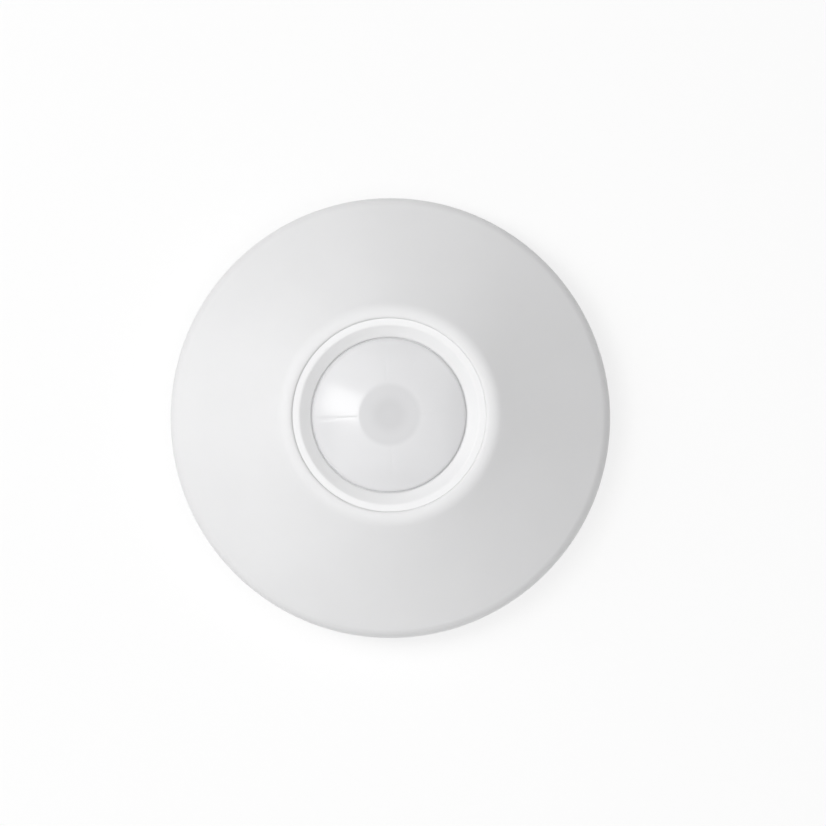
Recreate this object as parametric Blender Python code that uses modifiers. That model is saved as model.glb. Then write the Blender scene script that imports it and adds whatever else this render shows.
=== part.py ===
"""A round, surface-mounted infrared motion sensor, lying on its mounting face with its lens up.

Metres, +Z up. The origin is the centre of the mounting face, on the sensor's axis. The wiring
side is -Y. Each object is one piece of the sensor, and an object that moves has its origin on
the axis that it moves about or along.
"""

import math

import bmesh
import bpy
from mathutils import Matrix, Vector

MM = 0.001
GAP = 0.3 * MM  # space left between two pieces that rest on each other
BIG_STEPS = 60  # sides of the large turned pieces
LENS_STEPS = 40
MID_STEPS = 24
SMALL_STEPS = 16
TINY_STEPS = 6
SHARP = math.radians(35)  # an edge that turns more than this isn't shaded smooth

# Casing: the cover's outside, from the rim up to the collar round the lens.
COVER_RADIUS = 57.8 * MM
COVER_WALL = 2.0 * MM
RIM_LOW = 2.8 * MM
RIM_CORNER = Vector((57.6 * MM, 11.2 * MM))  # where the wall and the cone would meet, as (r, z)
RIM_ROUND = 4.0 * MM
CONE_SLOPE = math.radians(31)
COLLAR_ROUND = 6.0 * MM
COLLAR_FLAT = 1.2 * MM  # the flat ring round the seat
SEAT_RADIUS = 25.2 * MM  # the round recess that the bezel drops into
COLLAR_RADIUS = 27.4 * MM
LEDGE_TOP = 24.1 * MM  # the ledge that the lens sits on
LEDGE_LOW = 22.1 * MM
LEDGE_INNER = 19.2 * MM
COVER_INNER = 55.2 * MM

# Base plate.
BASE_RADIUS = 56.9 * MM
FLOOR = 2.4 * MM
BASE_WALL_OUTER = 54.2 * MM
BASE_WALL_INNER = 52.6 * MM
BASE_WALL_TOP = 7.4 * MM
EDGE = 0.4 * MM  # small chamfers on moulded edges
CATCH_DEPTH = 0.35 * MM
CATCH_ANGLES = (30, 150, 270)
CATCH_HALF_SPAN = 7  # degrees
SLOT_CENTRE = 43.0 * MM  # from the axis: for box screws 82 to 90 mm apart
SLOT_LENGTH = 9.0 * MM
SLOT_WIDTH = 5.0 * MM
SLOT_PAD = 2.6 * MM  # how far the raised pad reaches past its slot
CABLE_ENTRY = (24 * MM, 12 * MM)
CABLE_ENTRY_Y = -40 * MM
NOTCH_WIDTH = 8 * MM  # the screwdriver notch in the cover's rim

# Lens and its twist-lock bezel.
BEZEL_RADIUS = 24.8 * MM
BEZEL_TOP = 28.5 * MM
BEZEL_BORE = 20.5 * MM
FUNNEL_SLOPE = 28  # degrees
LIP_ROUND = 1.5 * MM
SKIRT_INNER = 23.6 * MM
SKIRT_LOW = LEDGE_TOP + 0.4 * MM
LENS_RADIUS = 20.05 * MM
LENS_CURVE = 60 * MM
LENS_WALL = 0.9 * MM
FLANGE_RADIUS = 23.2 * MM
FLANGE_LOW = LEDGE_TOP + 1.2 * MM
FLANGE_TOP = FLANGE_LOW + 1.0 * MM
DOME_BASE = FLANGE_TOP + 0.6 * MM
HOOK_ANGLES = (15, 135, 255)
HOOK_STEM = 8  # degrees round the axis
HOOK_TOE = 8
TWIST = 15  # degrees from locked to free
HOOK_SLACK = 1

# Circuit board and the places of what stands on it.
BOARD_LOW = 7.0 * MM
BOARD_TOP = BOARD_LOW + 1.6 * MM
BOARD_RADIUS = 44 * MM
BOARD_HALF_WIDTH = 36 * MM
BOARD_FRONT = -27 * MM
SEAT = BOARD_TOP + GAP  # where parts start above the board
LEAD = 0.6 * MM
LEAD_LOW = BOARD_LOW - 1.4 * MM
SCREW_PLACES = ((0, 38 * MM), (-28.6 * MM, -16.5 * MM), (28.6 * MM, -16.5 * MM))
PITCH = 2.54 * MM
TRIMPOT_PLACE = Vector((-11 * MM, 27 * MM, 0))
JUMPER_PLACE = Vector((0, 31 * MM, 0))
TAMPER_PLACE = Vector((27 * MM, 20 * MM, 0))
RELAY_PLACE = Vector((27.5 * MM, 3 * MM, 0))
LED_PLACE = Vector((9.3 * MM, 0, 0))
VARISTOR_PLACE = Vector((-21.5 * MM, -6 * MM, 0))
CRYSTAL_PLACE = Vector((22 * MM, -9.7 * MM, 0))
CAPACITORS = {
    "supply_capacitor": (Vector((-30 * MM, 6 * MM, 0)), 4.0 * MM, 11 * MM),
    "filter_capacitor": (Vector((-30 * MM, -4.5 * MM, 0)), 3.15 * MM, 9 * MM),
}
SHROUD_PEGS = ((9.6 * MM, 9.6 * MM), (-9.6 * MM, -9.6 * MM))

# Screw terminals: six cells side by side along the board's front edge.
TERMINALS = 6
CELL = 5.08 * MM
TERMINAL_Y = -23 * MM
TERMINAL_DEPTH = 8.4 * MM
TERMINAL_TOP = SEAT + 10 * MM
CLAMP_TRAVEL = 1.1 * MM
CHAMBER = Vector((3.9 * MM, 5.4 * MM, 5.1 * MM + CLAMP_TRAVEL))  # each cell's space for its cage
CHAMBER_LOW = SEAT + 1.2 * MM

# Tamper switch: a spring plunger that the closed cover holds down.
PLUNGER_RADIUS = 1.5 * MM
PLUNGER_TOP = 17.0 * MM
PLUNGER_HEAD = 2.8 * MM
TAMPER_BODY_TOP = SEAT + 3.6 * MM


# --- scene, materials and modelling helpers ---------------------------------------------------


def clear_scene():
    for obj in list(bpy.data.objects):
        bpy.data.objects.remove(obj)


def collection(name):
    made = bpy.data.collections.new(name)
    bpy.context.scene.collection.children.link(made)
    return made


def material(name, colour, roughness, metallic=0.0):
    made = bpy.data.materials.new(name)
    made.use_nodes = True
    shader = made.node_tree.nodes["Principled BSDF"]
    shader.inputs["Base Color"].default_value = (*colour, 1)
    shader.inputs["Roughness"].default_value = roughness
    shader.inputs["Metallic"].default_value = metallic
    made.diffuse_color = (*colour, 1)
    return made


clear_scene()
SENSOR = collection("motion_sensor")
HELPERS = collection("helpers")
CASING = material("casing_plastic", (0.86, 0.86, 0.86), 0.45)
LENS = material("lens_plastic", (0.84, 0.84, 0.85), 0.35)
FOAM = material("gasket_foam", (0.12, 0.12, 0.13), 0.9)
BOARD = material("board_laminate", (0.05, 0.28, 0.13), 0.4)
STEEL = material("zinc_steel", (0.62, 0.63, 0.65), 0.35, 1.0)
NICKEL = material("nickel_can", (0.72, 0.71, 0.68), 0.25, 1.0)
SILICON = material("filter_window", (0.08, 0.07, 0.09), 0.15)
CERAMIC = material("ceramic_chip", (0.75, 0.72, 0.66), 0.5)
NYLON = material("nylon", (0.9, 0.9, 0.87), 0.5)
BLACK = material("black_plastic", (0.03, 0.03, 0.03), 0.45)
GREEN = material("terminal_plastic", (0.07, 0.33, 0.16), 0.45)
BLUE = material("blue_plastic", (0.05, 0.15, 0.45), 0.4)
RED = material("red_epoxy", (0.7, 0.06, 0.05), 0.2)
ORANGE = material("varistor_epoxy", (0.75, 0.33, 0.06), 0.4)
SLEEVE = material("capacitor_sleeve", (0.05, 0.07, 0.16), 0.35)


def new_object(name, data, place=(0, 0, 0), finish=None):
    """A piece of the sensor where finish is given, and otherwise a helper that joins or cuts one."""
    obj = bpy.data.objects.new(name, data)
    obj.location = place
    if finish is None:
        HELPERS.objects.link(obj)
        obj.hide_render = True
        obj.display_type = "WIRE"
    else:
        SENSOR.objects.link(obj)
        if not data.materials:
            data.materials.append(finish)
    return obj


def mesh_object(name, mesh_data, place, finish):
    mesh = bpy.data.meshes.new(name)
    mesh_data.to_mesh(mesh)
    mesh_data.free()
    return new_object(name, mesh, place, finish)


def block(name, size, centre, finish=None, place=(0, 0, 0), bevel=0.0):
    box = bmesh.new()
    bmesh.ops.create_cube(box, size=1, matrix=Matrix.Translation(centre) @ Matrix.Diagonal((*size, 1)))
    obj = mesh_object(name, box, place, finish)
    if bevel:
        soften(obj, bevel)
    return obj


def rod(name, radius, low, high, finish=None, place=(0, 0, 0), at=(0, 0), sides=SMALL_STEPS):
    """An upright cylinder between two heights."""
    bar = bmesh.new()
    middle = Matrix.Translation((*at, (low + high) / 2))
    bmesh.ops.create_cone(
        bar, cap_ends=True, segments=sides, radius1=radius, radius2=radius, depth=high - low, matrix=middle
    )
    obj = mesh_object(name, bar, place, finish)
    shade(obj.data)
    return obj


def soften(obj, width, segments=1):
    bevel = obj.modifiers.new("rounded edges", "BEVEL")
    bevel.width = width
    bevel.segments = segments
    bevel.limit_method = "ANGLE"


def turned(name, profile, finish=None, place=(0, 0, 0), steps=MID_STEPS, ring=True):
    """A solid turned about Z from (r, z) points down its outer side. A ring's profile closes on itself."""
    outline = bmesh.new()
    points = [outline.verts.new((r, 0, z)) for r, z in profile]
    for first, second in zip(points, points[1:]):
        outline.edges.new((first, second))
    if ring:
        outline.edges.new((points[-1], points[0]))
    drawn = mesh_object(name + " outline", outline, (0, 0, 0), None)
    screw = drawn.modifiers.new("turn", "SCREW")
    screw.steps = screw.render_steps = steps
    screw.use_merge_vertices = True
    screw.merge_threshold = 0.01 * MM
    return new_object(name, flattened(drawn, name), place, finish)


def arc(centre, radius, start, end, steps):
    """Points on an arc in the (r, z) plane, angles in degrees from +r towards +z."""
    angles = (math.radians(start + (end - start) * i / steps) for i in range(steps + 1))
    return [(centre[0] + radius * math.cos(a), centre[1] + radius * math.sin(a)) for a in angles]


def plate(name, outlines, low, high, finish=None, place=(0, 0, 0)):
    """A flat piece cut to the first outline, with the others as holes, as a closed mesh."""
    curve = bpy.data.curves.new(name, "CURVE")
    curve.dimensions = "2D"
    curve.fill_mode = "BOTH"
    curve.extrude = (high - low) / 2
    for outline in outlines:
        spline = curve.splines.new("POLY")
        spline.points.add(len(outline) - 1)
        spline.use_cyclic_u = True
        for point, (x, y) in zip(spline.points, outline):
            point.co = (x, y, 0, 1)
    drawn = new_object(name + " outline", curve)
    solid = flattened(drawn, name)
    solid.transform(Matrix.Translation((0, 0, (low + high) / 2)))
    return new_object(name, solid, place, finish)


def flattened(obj, name):
    """The object's shape as one welded mesh. The object and its helpers are removed."""
    bpy.context.view_layer.update()
    evaluated = obj.evaluated_get(bpy.context.evaluated_depsgraph_get())
    mesh = bpy.data.meshes.new_from_object(evaluated)
    mesh.name = name
    for used in (*obj.children, obj):
        bpy.data.objects.remove(used)
    weld = bmesh.new()
    weld.from_mesh(mesh)
    bmesh.ops.remove_doubles(weld, verts=weld.verts, dist=0.001 * MM)
    bmesh.ops.recalc_face_normals(weld, faces=weld.faces)
    weld.to_mesh(mesh)
    weld.free()
    shade(mesh)
    return mesh


def shade(mesh):
    mesh.shade_smooth()
    mesh.set_sharp_from_angle(angle=SHARP)


def combine(obj, helper, operation):
    modifier = obj.modifiers.new(operation.lower(), "BOOLEAN")
    modifier.operation = operation
    modifier.object = helper
    helper.parent = obj
    return obj


def join(obj, helper):
    return combine(obj, helper, "UNION")


def cut(obj, helper):
    return combine(obj, helper, "DIFFERENCE")


def circle(radius, sides, at=(0, 0)):
    angles = (2 * math.pi * i / sides for i in range(sides))
    return [(at[0] + radius * math.cos(a), at[1] + radius * math.sin(a)) for a in angles]


def obround(length, width, at=(0, 0), steps=8):
    """A slot's outline along X, length over its round ends."""
    straight = (length - width) / 2
    right = arc((at[0] + straight, at[1]), width / 2, -90, 90, steps)
    left = arc((at[0] - straight, at[1]), width / 2, 90, 270, steps)
    return right + left


def sector(name, inner, outer, start, end, low, high):
    """Part of a ring, between two angles in degrees, as a helper."""
    steps = max(2, round((end - start) / 5))
    outline = arc((0, 0), outer, start, end, steps) + arc((0, 0), inner, end, start, steps)
    return plate(name, [outline], low, high)


def blocks(name, sizes_and_centres):
    """Several boxes as one helper."""
    boxes = bmesh.new()
    for size, centre in sizes_and_centres:
        matrix = Matrix.Translation(centre) @ Matrix.Diagonal((*size, 1))
        bmesh.ops.create_cube(boxes, size=1, matrix=matrix)
    return mesh_object(name, boxes, (0, 0, 0), None)


def legs(name, places, top):
    """Square leads down through the board, as one helper to join to a part's body."""
    size = (LEAD, LEAD, top - LEAD_LOW)
    return blocks(name, [(size, (x, y, (top + LEAD_LOW) / 2)) for x, y in places])


def copies(name, original, finish, places):
    """The original as a finished mesh, once at each place and numbered from 1."""
    mesh = flattened(original, name)
    mesh.materials.clear()
    return [new_object(f"{name}_{i}", mesh, place, finish) for i, place in enumerate(places, 1)]


# --- casing -------------------------------------------------------------------------------------


def cone_height(radius):
    """Height of the cover's conical outside at this radius."""
    return RIM_CORNER.y + (RIM_CORNER.x - radius) * math.tan(CONE_SLOPE)


def underside_height(radius):
    return cone_height(radius) - COVER_WALL / math.cos(CONE_SLOPE)


def collar_arc():
    """From the flat collar round to the cone. It ends where the cone's own straight line starts."""
    start = SEAT_RADIUS + COLLAR_FLAT
    end = start + COLLAR_ROUND * math.sin(CONE_SLOPE)
    centre = (start, cone_height(end) - COLLAR_ROUND * math.cos(CONE_SLOPE))
    return arc(centre, COLLAR_ROUND, 90, 90 - math.degrees(CONE_SLOPE), 3)


def rim_arc():
    """From the cone round to the upright rim, tangent to both."""
    turn = math.pi / 2 - CONE_SLOPE
    tangent = RIM_ROUND * math.tan(turn / 2)
    centre = (RIM_CORNER.x - RIM_ROUND, RIM_CORNER.y - tangent)
    return arc(centre, RIM_ROUND, 90 - math.degrees(CONE_SLOPE), 0, 4)


def cover_profile():
    collar = collar_arc()
    top = collar[0][1]
    seat = [
        (LEDGE_INNER, LEDGE_TOP),
        (SEAT_RADIUS, LEDGE_TOP),
        (SEAT_RADIUS, top - EDGE),
        (SEAT_RADIUS + EDGE, top),
    ]
    rim = [(COVER_RADIUS, RIM_LOW + EDGE), (COVER_RADIUS - EDGE, RIM_LOW), (COVER_INNER, RIM_LOW)]
    corner = COVER_INNER - COVER_WALL / 2
    inside = [
        (COVER_INNER, underside_height(corner) - COVER_WALL / 2),
        (corner, underside_height(corner)),
        (COLLAR_RADIUS, underside_height(COLLAR_RADIUS)),
        (COLLAR_RADIUS, LEDGE_LOW),
        (LEDGE_INNER, LEDGE_LOW),
    ]
    return seat + collar + rim_arc() + rim + inside


def lens_keys(grow):
    """The two keys on the ledge that stop the lens turning, grown for the notches that take them."""
    size = (1.0 * MM + grow, 1.6 * MM + grow, 2.1 * MM + grow)
    for side in (-1, 1):
        yield block("lens key", size, (side * 22.8 * MM, 0, LEDGE_TOP + 0.95 * MM))


def front_cover():
    cover = turned("front_cover", cover_profile(), CASING, steps=BIG_STEPS)
    for key in lens_keys(0):
        join(cover, key)
    for angle in CATCH_ANGLES:
        inner = COVER_INNER - CATCH_DEPTH
        ends = angle - CATCH_HALF_SPAN, angle + CATCH_HALF_SPAN
        join(cover, sector("cover catch", inner, COVER_INNER + MM, *ends, 3.6 * MM, 4.9 * MM))
    post = rod("tamper post", 2.5 * MM, PLUNGER_TOP + GAP, underside_height(34 * MM) + MM)
    post.location = TAMPER_PLACE
    join(cover, post)
    for angle in HOOK_ANGLES:
        ends = angle - HOOK_SLACK, angle + HOOK_STEM + TWIST + HOOK_SLACK
        ledge = LEDGE_LOW - MM, LEDGE_TOP + MM
        cut(cover, sector("hook slot", 23.5 * MM, 25.0 * MM, *ends, *ledge))
    notch = (NOTCH_WIDTH, 4 * MM, 2 * MM)
    return cut(cover, block("screwdriver notch", notch, (0, -COVER_RADIUS + MM, RIM_LOW)))


def base_plate():
    profile = [
        (0, FLOOR),
        (BASE_WALL_INNER, FLOOR),
        (BASE_WALL_INNER, BASE_WALL_TOP),
        (BASE_WALL_OUTER - EDGE, BASE_WALL_TOP),
        (BASE_WALL_OUTER, BASE_WALL_TOP - EDGE),
        (BASE_WALL_OUTER, FLOOR),
        (BASE_RADIUS - EDGE, FLOOR),
        (BASE_RADIUS, FLOOR - EDGE),
        (BASE_RADIUS, EDGE),
        (BASE_RADIUS - EDGE, 0),
        (0, 0),
    ]
    base = turned("base_plate", profile, CASING, steps=BIG_STEPS, ring=False)
    below_floor = FLOOR - MM
    for place in SCREW_PLACES:
        join(base, rod("board boss", 3.2 * MM, below_floor, BOARD_LOW - GAP, at=place))
        cut(base, rod("pilot hole", 1.4 * MM, FLOOR + 0.6 * MM, BOARD_LOW + MM, at=place, sides=12))
    for side in (-1, 1):
        at = (side * SLOT_CENTRE, 0)
        pad = obround(SLOT_LENGTH + 2 * SLOT_PAD, SLOT_WIDTH + 2 * SLOT_PAD, at)
        join(base, plate("slot pad", [pad], below_floor, FLOOR + 0.8 * MM))
        cut(base, plate("screw slot", [obround(SLOT_LENGTH, SLOT_WIDTH, at)], -MM, 2 * FLOOR))
    entry = obround(*CABLE_ENTRY, (0, CABLE_ENTRY_Y))
    cut(base, plate("cable entry", [entry], -MM, 2 * FLOOR))
    for angle in CATCH_ANGLES:
        ends = angle - CATCH_HALF_SPAN, angle + CATCH_HALF_SPAN
        reach = BASE_WALL_OUTER - MM, BASE_WALL_OUTER + CATCH_DEPTH
        join(base, sector("base catch", *reach, *ends, 5.3 * MM, 6.5 * MM))
    return base


# --- lens and bezel -----------------------------------------------------------------------------


def lens_bezel():
    """The ring that holds the lens down. Its funnel leads in to the lens, and three hooks lock it."""
    lip = (23.8 * MM, BEZEL_TOP - LIP_ROUND)
    profile = [
        (BEZEL_BORE, DOME_BASE + 0.1 * MM),
        *arc(lip, LIP_ROUND, 90 + FUNNEL_SLOPE, 90, 3),
        (BEZEL_RADIUS - EDGE, BEZEL_TOP),
        (BEZEL_RADIUS, BEZEL_TOP - EDGE),
        (BEZEL_RADIUS, SKIRT_LOW),
        (SKIRT_INNER, SKIRT_LOW),
        (SKIRT_INNER, FLANGE_TOP + GAP),
        (BEZEL_BORE, FLANGE_TOP + GAP),
    ]
    bezel = turned("lens_bezel", profile, CASING, steps=LENS_STEPS)
    toe_top = LEDGE_LOW - GAP
    toe_low = toe_top - 1.4 * MM
    radii = 23.8 * MM, 24.7 * MM
    for angle in HOOK_ANGLES:
        stem = sector("hook stem", *radii, angle, angle + HOOK_STEM, toe_low, SKIRT_LOW + MM)
        toe = sector("hook toe", *radii, angle - HOOK_TOE, angle + 2, toe_low, toe_top)
        join(join(bezel, stem), toe)
    return bezel


def dome_arc(radius, edge, base, outward):
    """The lens's curve between the axis and its edge, listed outward from the axis or inward to it."""
    reach = math.degrees(math.asin(edge / radius))
    centre = (0, base - math.sqrt(radius**2 - edge**2))
    points = arc(centre, radius, 90, 90 - reach, 6)
    points[0] = (0, points[0][1])
    return points if outward else points[::-1]


def fresnel_lens():
    inner_edge = LENS_RADIUS - LENS_WALL
    profile = [
        *dome_arc(LENS_CURVE, LENS_RADIUS, DOME_BASE, True),
        (LENS_RADIUS, FLANGE_TOP),
        (FLANGE_RADIUS, FLANGE_TOP),
        (FLANGE_RADIUS, FLANGE_LOW),
        (inner_edge, FLANGE_LOW),
        *dome_arc(LENS_CURVE - LENS_WALL, inner_edge, DOME_BASE - LENS_WALL / 2, False),
    ]
    lens = turned("fresnel_lens", profile, LENS, steps=LENS_STEPS, ring=False)
    for notch in lens_keys(0.9 * MM):
        cut(lens, notch)
    return lens


def lens_gasket():
    low, high = LEDGE_TOP + GAP, FLANGE_LOW - GAP
    inner, outer = 19.8 * MM, 21.8 * MM
    section = [(inner, high), (outer, high), (outer, low), (inner, low)]
    return turned("lens_gasket", section, FOAM, steps=LENS_STEPS)


# --- sensing element ----------------------------------------------------------------------------


PIR_LEADS = circle(2.5 * MM, 3)
SPACER_TOP = SEAT + 1.2 * MM
HEADER_TOP = SPACER_TOP + GAP + 0.9 * MM
CAN_TOP = HEADER_TOP + GAP + 3.7 * MM
CAN_WALL = 0.5 * MM


def pir_parts():
    """The infrared sensor: spacer, header with its leads, element, window, and can with a square opening."""
    holes = [circle(0.7 * MM, TINY_STEPS, at) for at in PIR_LEADS]
    plate("pir_spacer", [circle(4.8 * MM, MID_STEPS), *holes], SEAT, SPACER_TOP, NYLON)
    header = rod("pir_header", 4.6 * MM, SPACER_TOP + GAP, HEADER_TOP, NICKEL, sides=MID_STEPS)
    join(header, legs("header leads", PIR_LEADS, SPACER_TOP + 0.8 * MM))
    element_low = HEADER_TOP + GAP
    block("pir_element", (4 * MM, 3 * MM, 1.2 * MM), (0, 0, element_low + 0.6 * MM), CERAMIC)
    opening = Vector((4.0 * MM, 3.2 * MM, 2 * MM))
    window = (4.8 * MM, 4.0 * MM, 0.4 * MM)
    block("pir_window", window, (0, 0, CAN_TOP - CAN_WALL - GAP - 0.2 * MM), SILICON)
    outer, inner = 4.15 * MM, 4.15 * MM - CAN_WALL
    profile = [
        (0, CAN_TOP),
        (outer - EDGE, CAN_TOP),
        (outer, CAN_TOP - EDGE),
        (outer, HEADER_TOP + GAP),
        (inner, HEADER_TOP + GAP),
        (inner, CAN_TOP - CAN_WALL),
        (0, CAN_TOP - CAN_WALL),
    ]
    can = turned("pir_can", profile, NICKEL, ring=False)
    return cut(can, block("can opening", opening, (0, 0, CAN_TOP)))


def optics_shroud():
    """The collar that keeps the sensor's view clear of the board's warm parts and of draughts."""
    profile = [
        (15.5 * MM, 18.5 * MM),
        (16.5 * MM, 18.5 * MM),
        (14.2 * MM, SEAT + 1.4 * MM),
        (14.2 * MM, SEAT),
        (13.0 * MM, SEAT),
        (13.0 * MM, SEAT + 1.2 * MM),
    ]
    shroud = turned("optics_shroud", profile, NYLON)
    for place in SHROUD_PEGS:
        join(shroud, rod("shroud peg", 0.6 * MM, LEAD_LOW + 0.4 * MM, SEAT + 0.8 * MM, at=place, sides=12))
    return shroud


def status_led():
    radius = 1.5 * MM
    dome_base = SEAT + 3.6 * MM
    profile = [
        *arc((0, dome_base), radius, 90, 0, 4),
        (radius, SEAT + 1.4 * MM),
        (1.9 * MM, SEAT + 1.4 * MM),
        (1.9 * MM, SEAT + 0.4 * MM),
        (0, SEAT + 0.4 * MM),
    ]
    profile[0] = (0, dome_base + radius)
    led = turned("status_led", profile, RED, LED_PLACE, steps=SMALL_STEPS, ring=False)
    return join(led, legs("led leads", led_leads(), SEAT + 0.8 * MM))


def led_leads():
    return [(0, -PITCH / 2), (0, PITCH / 2)]


# --- board and small parts ----------------------------------------------------------------------


def board_outline():
    """A disc cut flat at both sides and along the terminals."""
    side = math.degrees(math.acos(BOARD_HALF_WIDTH / BOARD_RADIUS))
    top = arc((0, 0), BOARD_RADIUS, side, 180 - side, 20)
    low = BOARD_FRONT
    corner = 3 * MM
    left = arc((-BOARD_HALF_WIDTH + corner, low + corner), corner, 180, 270, 4)
    right = arc((BOARD_HALF_WIDTH - corner, low + corner), corner, 270, 360, 4)
    return top + left + right


def lead_holes():
    """Where leads pass through the board, as (x, y)."""
    standing = (
        (Vector((0, 0, 0)), PIR_LEADS),
        (LED_PLACE, led_leads()),
        (TRIMPOT_PLACE, trimpot_leads()),
        (JUMPER_PLACE, jumper_pins()),
        (TAMPER_PLACE, tamper_leads()),
        (RELAY_PLACE, relay_leads()),
        (VARISTOR_PLACE, varistor_leads()),
        (CRYSTAL_PLACE, crystal_leads()),
    )
    for place, leads in standing:
        for x, y in leads:
            yield place.x + x, place.y + y
    for place, radius, _ in CAPACITORS.values():
        for x, y in capacitor_leads(radius):
            yield place.x + x, place.y + y
    for index in range(TERMINALS):
        yield terminal_x(index), TERMINAL_Y + TERMINAL_PIN_Y


def main_board():
    holes = [circle(0.75 * MM, TINY_STEPS, at) for at in lead_holes()]
    pegs = [circle(0.95 * MM, 12, at) for at in SHROUD_PEGS]
    screws = [circle(1.6 * MM, SMALL_STEPS, at) for at in SCREW_PLACES]
    return plate("main_board", [board_outline(), *holes, *pegs, *screws], BOARD_LOW, BOARD_TOP, BOARD)


def board_screws():
    """Self-tapping pan-head screws into the base's bosses."""
    radius, head_top = 2.7 * MM, SEAT + 2.0 * MM
    profile = [
        (0, head_top),
        (1.5 * MM, head_top - 0.05 * MM),
        (2.4 * MM, head_top - 0.6 * MM),
        (radius, SEAT + 0.4 * MM),
        (radius, SEAT),
        (1.1 * MM, SEAT),
        (1.1 * MM, FLOOR + 1.6 * MM),
        (0.3 * MM, FLOOR + 0.9 * MM),
        (0, FLOOR + 0.9 * MM),
    ]
    screw = turned("board screw", profile, steps=SMALL_STEPS, ring=False)
    for size in ((2.8 * MM, 0.6 * MM, 2 * MM), (0.6 * MM, 2.8 * MM, 2 * MM)):
        cut(screw, block("cross recess", size, (0, 0, head_top)))
    places = [(x, y, 0) for x, y in SCREW_PLACES]
    return copies("board_screw", screw, STEEL, places)


def trimpot_leads():
    return [(-PITCH, -PITCH), (PITCH, -PITCH), (0, PITCH)]


def trimpot():
    """The range control: a square body and a slotted rotor that turns in it."""
    side = 6.6 * MM
    top = SEAT + 4.2 * MM
    size = (side, side, top - SEAT)
    body = block("range_trimpot_body", size, (0, 0, (SEAT + top) / 2), BLUE, TRIMPOT_PLACE, 0.3 * MM)
    cut(body, rod("rotor well", 2.1 * MM, SEAT + MM, top + MM, sides=MID_STEPS))
    join(body, legs("trimpot leads", trimpot_leads(), SEAT + 0.6 * MM))
    rotor_span = SEAT + 1.3 * MM, top + 0.2 * MM
    rotor = rod("range_trimpot_rotor", 1.8 * MM, *rotor_span, NYLON, TRIMPOT_PLACE, sides=MID_STEPS)
    for size in ((2.6 * MM, 0.6 * MM, 1.6 * MM), (0.6 * MM, 1.4 * MM, 1.6 * MM)):
        cut(rotor, block("rotor slot", size, (0, 0, top + 0.2 * MM)))
    return rotor


JUMPER_BASE_TOP = SEAT + 2.5 * MM
JUMPER_PIN_TOP = JUMPER_BASE_TOP + 4.0 * MM


def jumper_pins():
    return [(x * PITCH, y * PITCH / 2) for x in (-1, 1) for y in (-1, 1)]


def jumpers():
    """A four-pin header with a pull-off link on each pair of pins."""
    size = (7.4 * MM, 5.0 * MM, 2.5 * MM)
    header = block("jumper_header", size, (0, 0, SEAT + size[2] / 2), BLACK, JUMPER_PLACE, 0.3 * MM)
    join(header, legs("header pins", jumper_pins(), JUMPER_PIN_TOP))
    low = JUMPER_BASE_TOP + GAP
    height = 5.0 * MM
    for name, side in (("led_jumper", -1), ("pulse_jumper", 1)):
        place = JUMPER_PLACE + Vector((side * PITCH, 0, 0))
        link = block(name, (2.4 * MM, 4.9 * MM, height), (0, 0, low + height / 2), BLUE, place, 0.2 * MM)
        for end in (-1, 1):
            hole_size = (1.3 * MM, 1.3 * MM, 2 * (height - 0.4 * MM))
            cut(link, block("pin hole", hole_size, (0, end * PITCH / 2, low)))


def tamper_leads():
    return [(x * 2.2 * MM, y * 2.2 * MM) for x in (-1, 1) for y in (-1, 1)]


def tamper_switch():
    """Switch body, the plunger that the cover holds down, and the spring that lifts it."""
    side = 6.4 * MM
    height = TAMPER_BODY_TOP - SEAT
    centre = (0, 0, SEAT + height / 2)
    body = block("tamper_switch_body", (side, side, height), centre, BLACK, TAMPER_PLACE, 0.3 * MM)
    cut(body, rod("plunger well", PLUNGER_RADIUS + GAP, SEAT + MM, TAMPER_BODY_TOP + MM))
    join(body, legs("tamper leads", tamper_leads(), SEAT + 0.6 * MM))
    head_low = PLUNGER_TOP - 0.8 * MM
    profile = [
        (0, PLUNGER_TOP),
        (PLUNGER_HEAD - EDGE, PLUNGER_TOP),
        (PLUNGER_HEAD, PLUNGER_TOP - EDGE),
        (PLUNGER_HEAD, head_low),
        (PLUNGER_RADIUS, head_low),
        (PLUNGER_RADIUS, SEAT + 1.4 * MM),
        (0, SEAT + 1.4 * MM),
    ]
    turned("tamper_plunger", profile, NYLON, TAMPER_PLACE, steps=SMALL_STEPS, ring=False)
    return tamper_spring(TAMPER_BODY_TOP, head_low)


def tamper_spring(low, high, turns=4, wire=0.2 * MM, points_a_turn=10):
    """A compression spring between two faces, its wire's end points a gap clear of each."""
    radius = 2.15 * MM
    start, end = low + GAP + wire, high - GAP - wire
    count = turns * points_a_turn + 1
    curve = bpy.data.curves.new("tamper_spring", "CURVE")
    curve.dimensions = "3D"
    curve.bevel_depth = wire
    curve.bevel_resolution = 2
    curve.use_fill_caps = True
    spline = curve.splines.new("POLY")
    spline.points.add(count - 1)
    for number, point in enumerate(spline.points):
        turn = 2 * math.pi * number / points_a_turn
        height = start + (end - start) * number / (count - 1)
        point.co = (radius * math.cos(turn), radius * math.sin(turn), height, 1)
    return new_object("tamper_spring", curve, TAMPER_PLACE, STEEL)


def relay_leads():
    return [(x * 3.81 * MM, y * 5.08 * MM) for x in (-1, 1) for y in (-1, 1)]


def alarm_relay():
    size = (10 * MM, 14.6 * MM, 10 * MM)
    centre = (0, 0, SEAT + size[2] / 2)
    relay = block("alarm_relay", size, centre, BLACK, RELAY_PLACE, 0.5 * MM)
    return join(relay, legs("relay leads", relay_leads(), SEAT + 0.8 * MM))


def capacitor_leads(radius):
    return [(-radius / 2, 0), (radius / 2, 0)]


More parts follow.
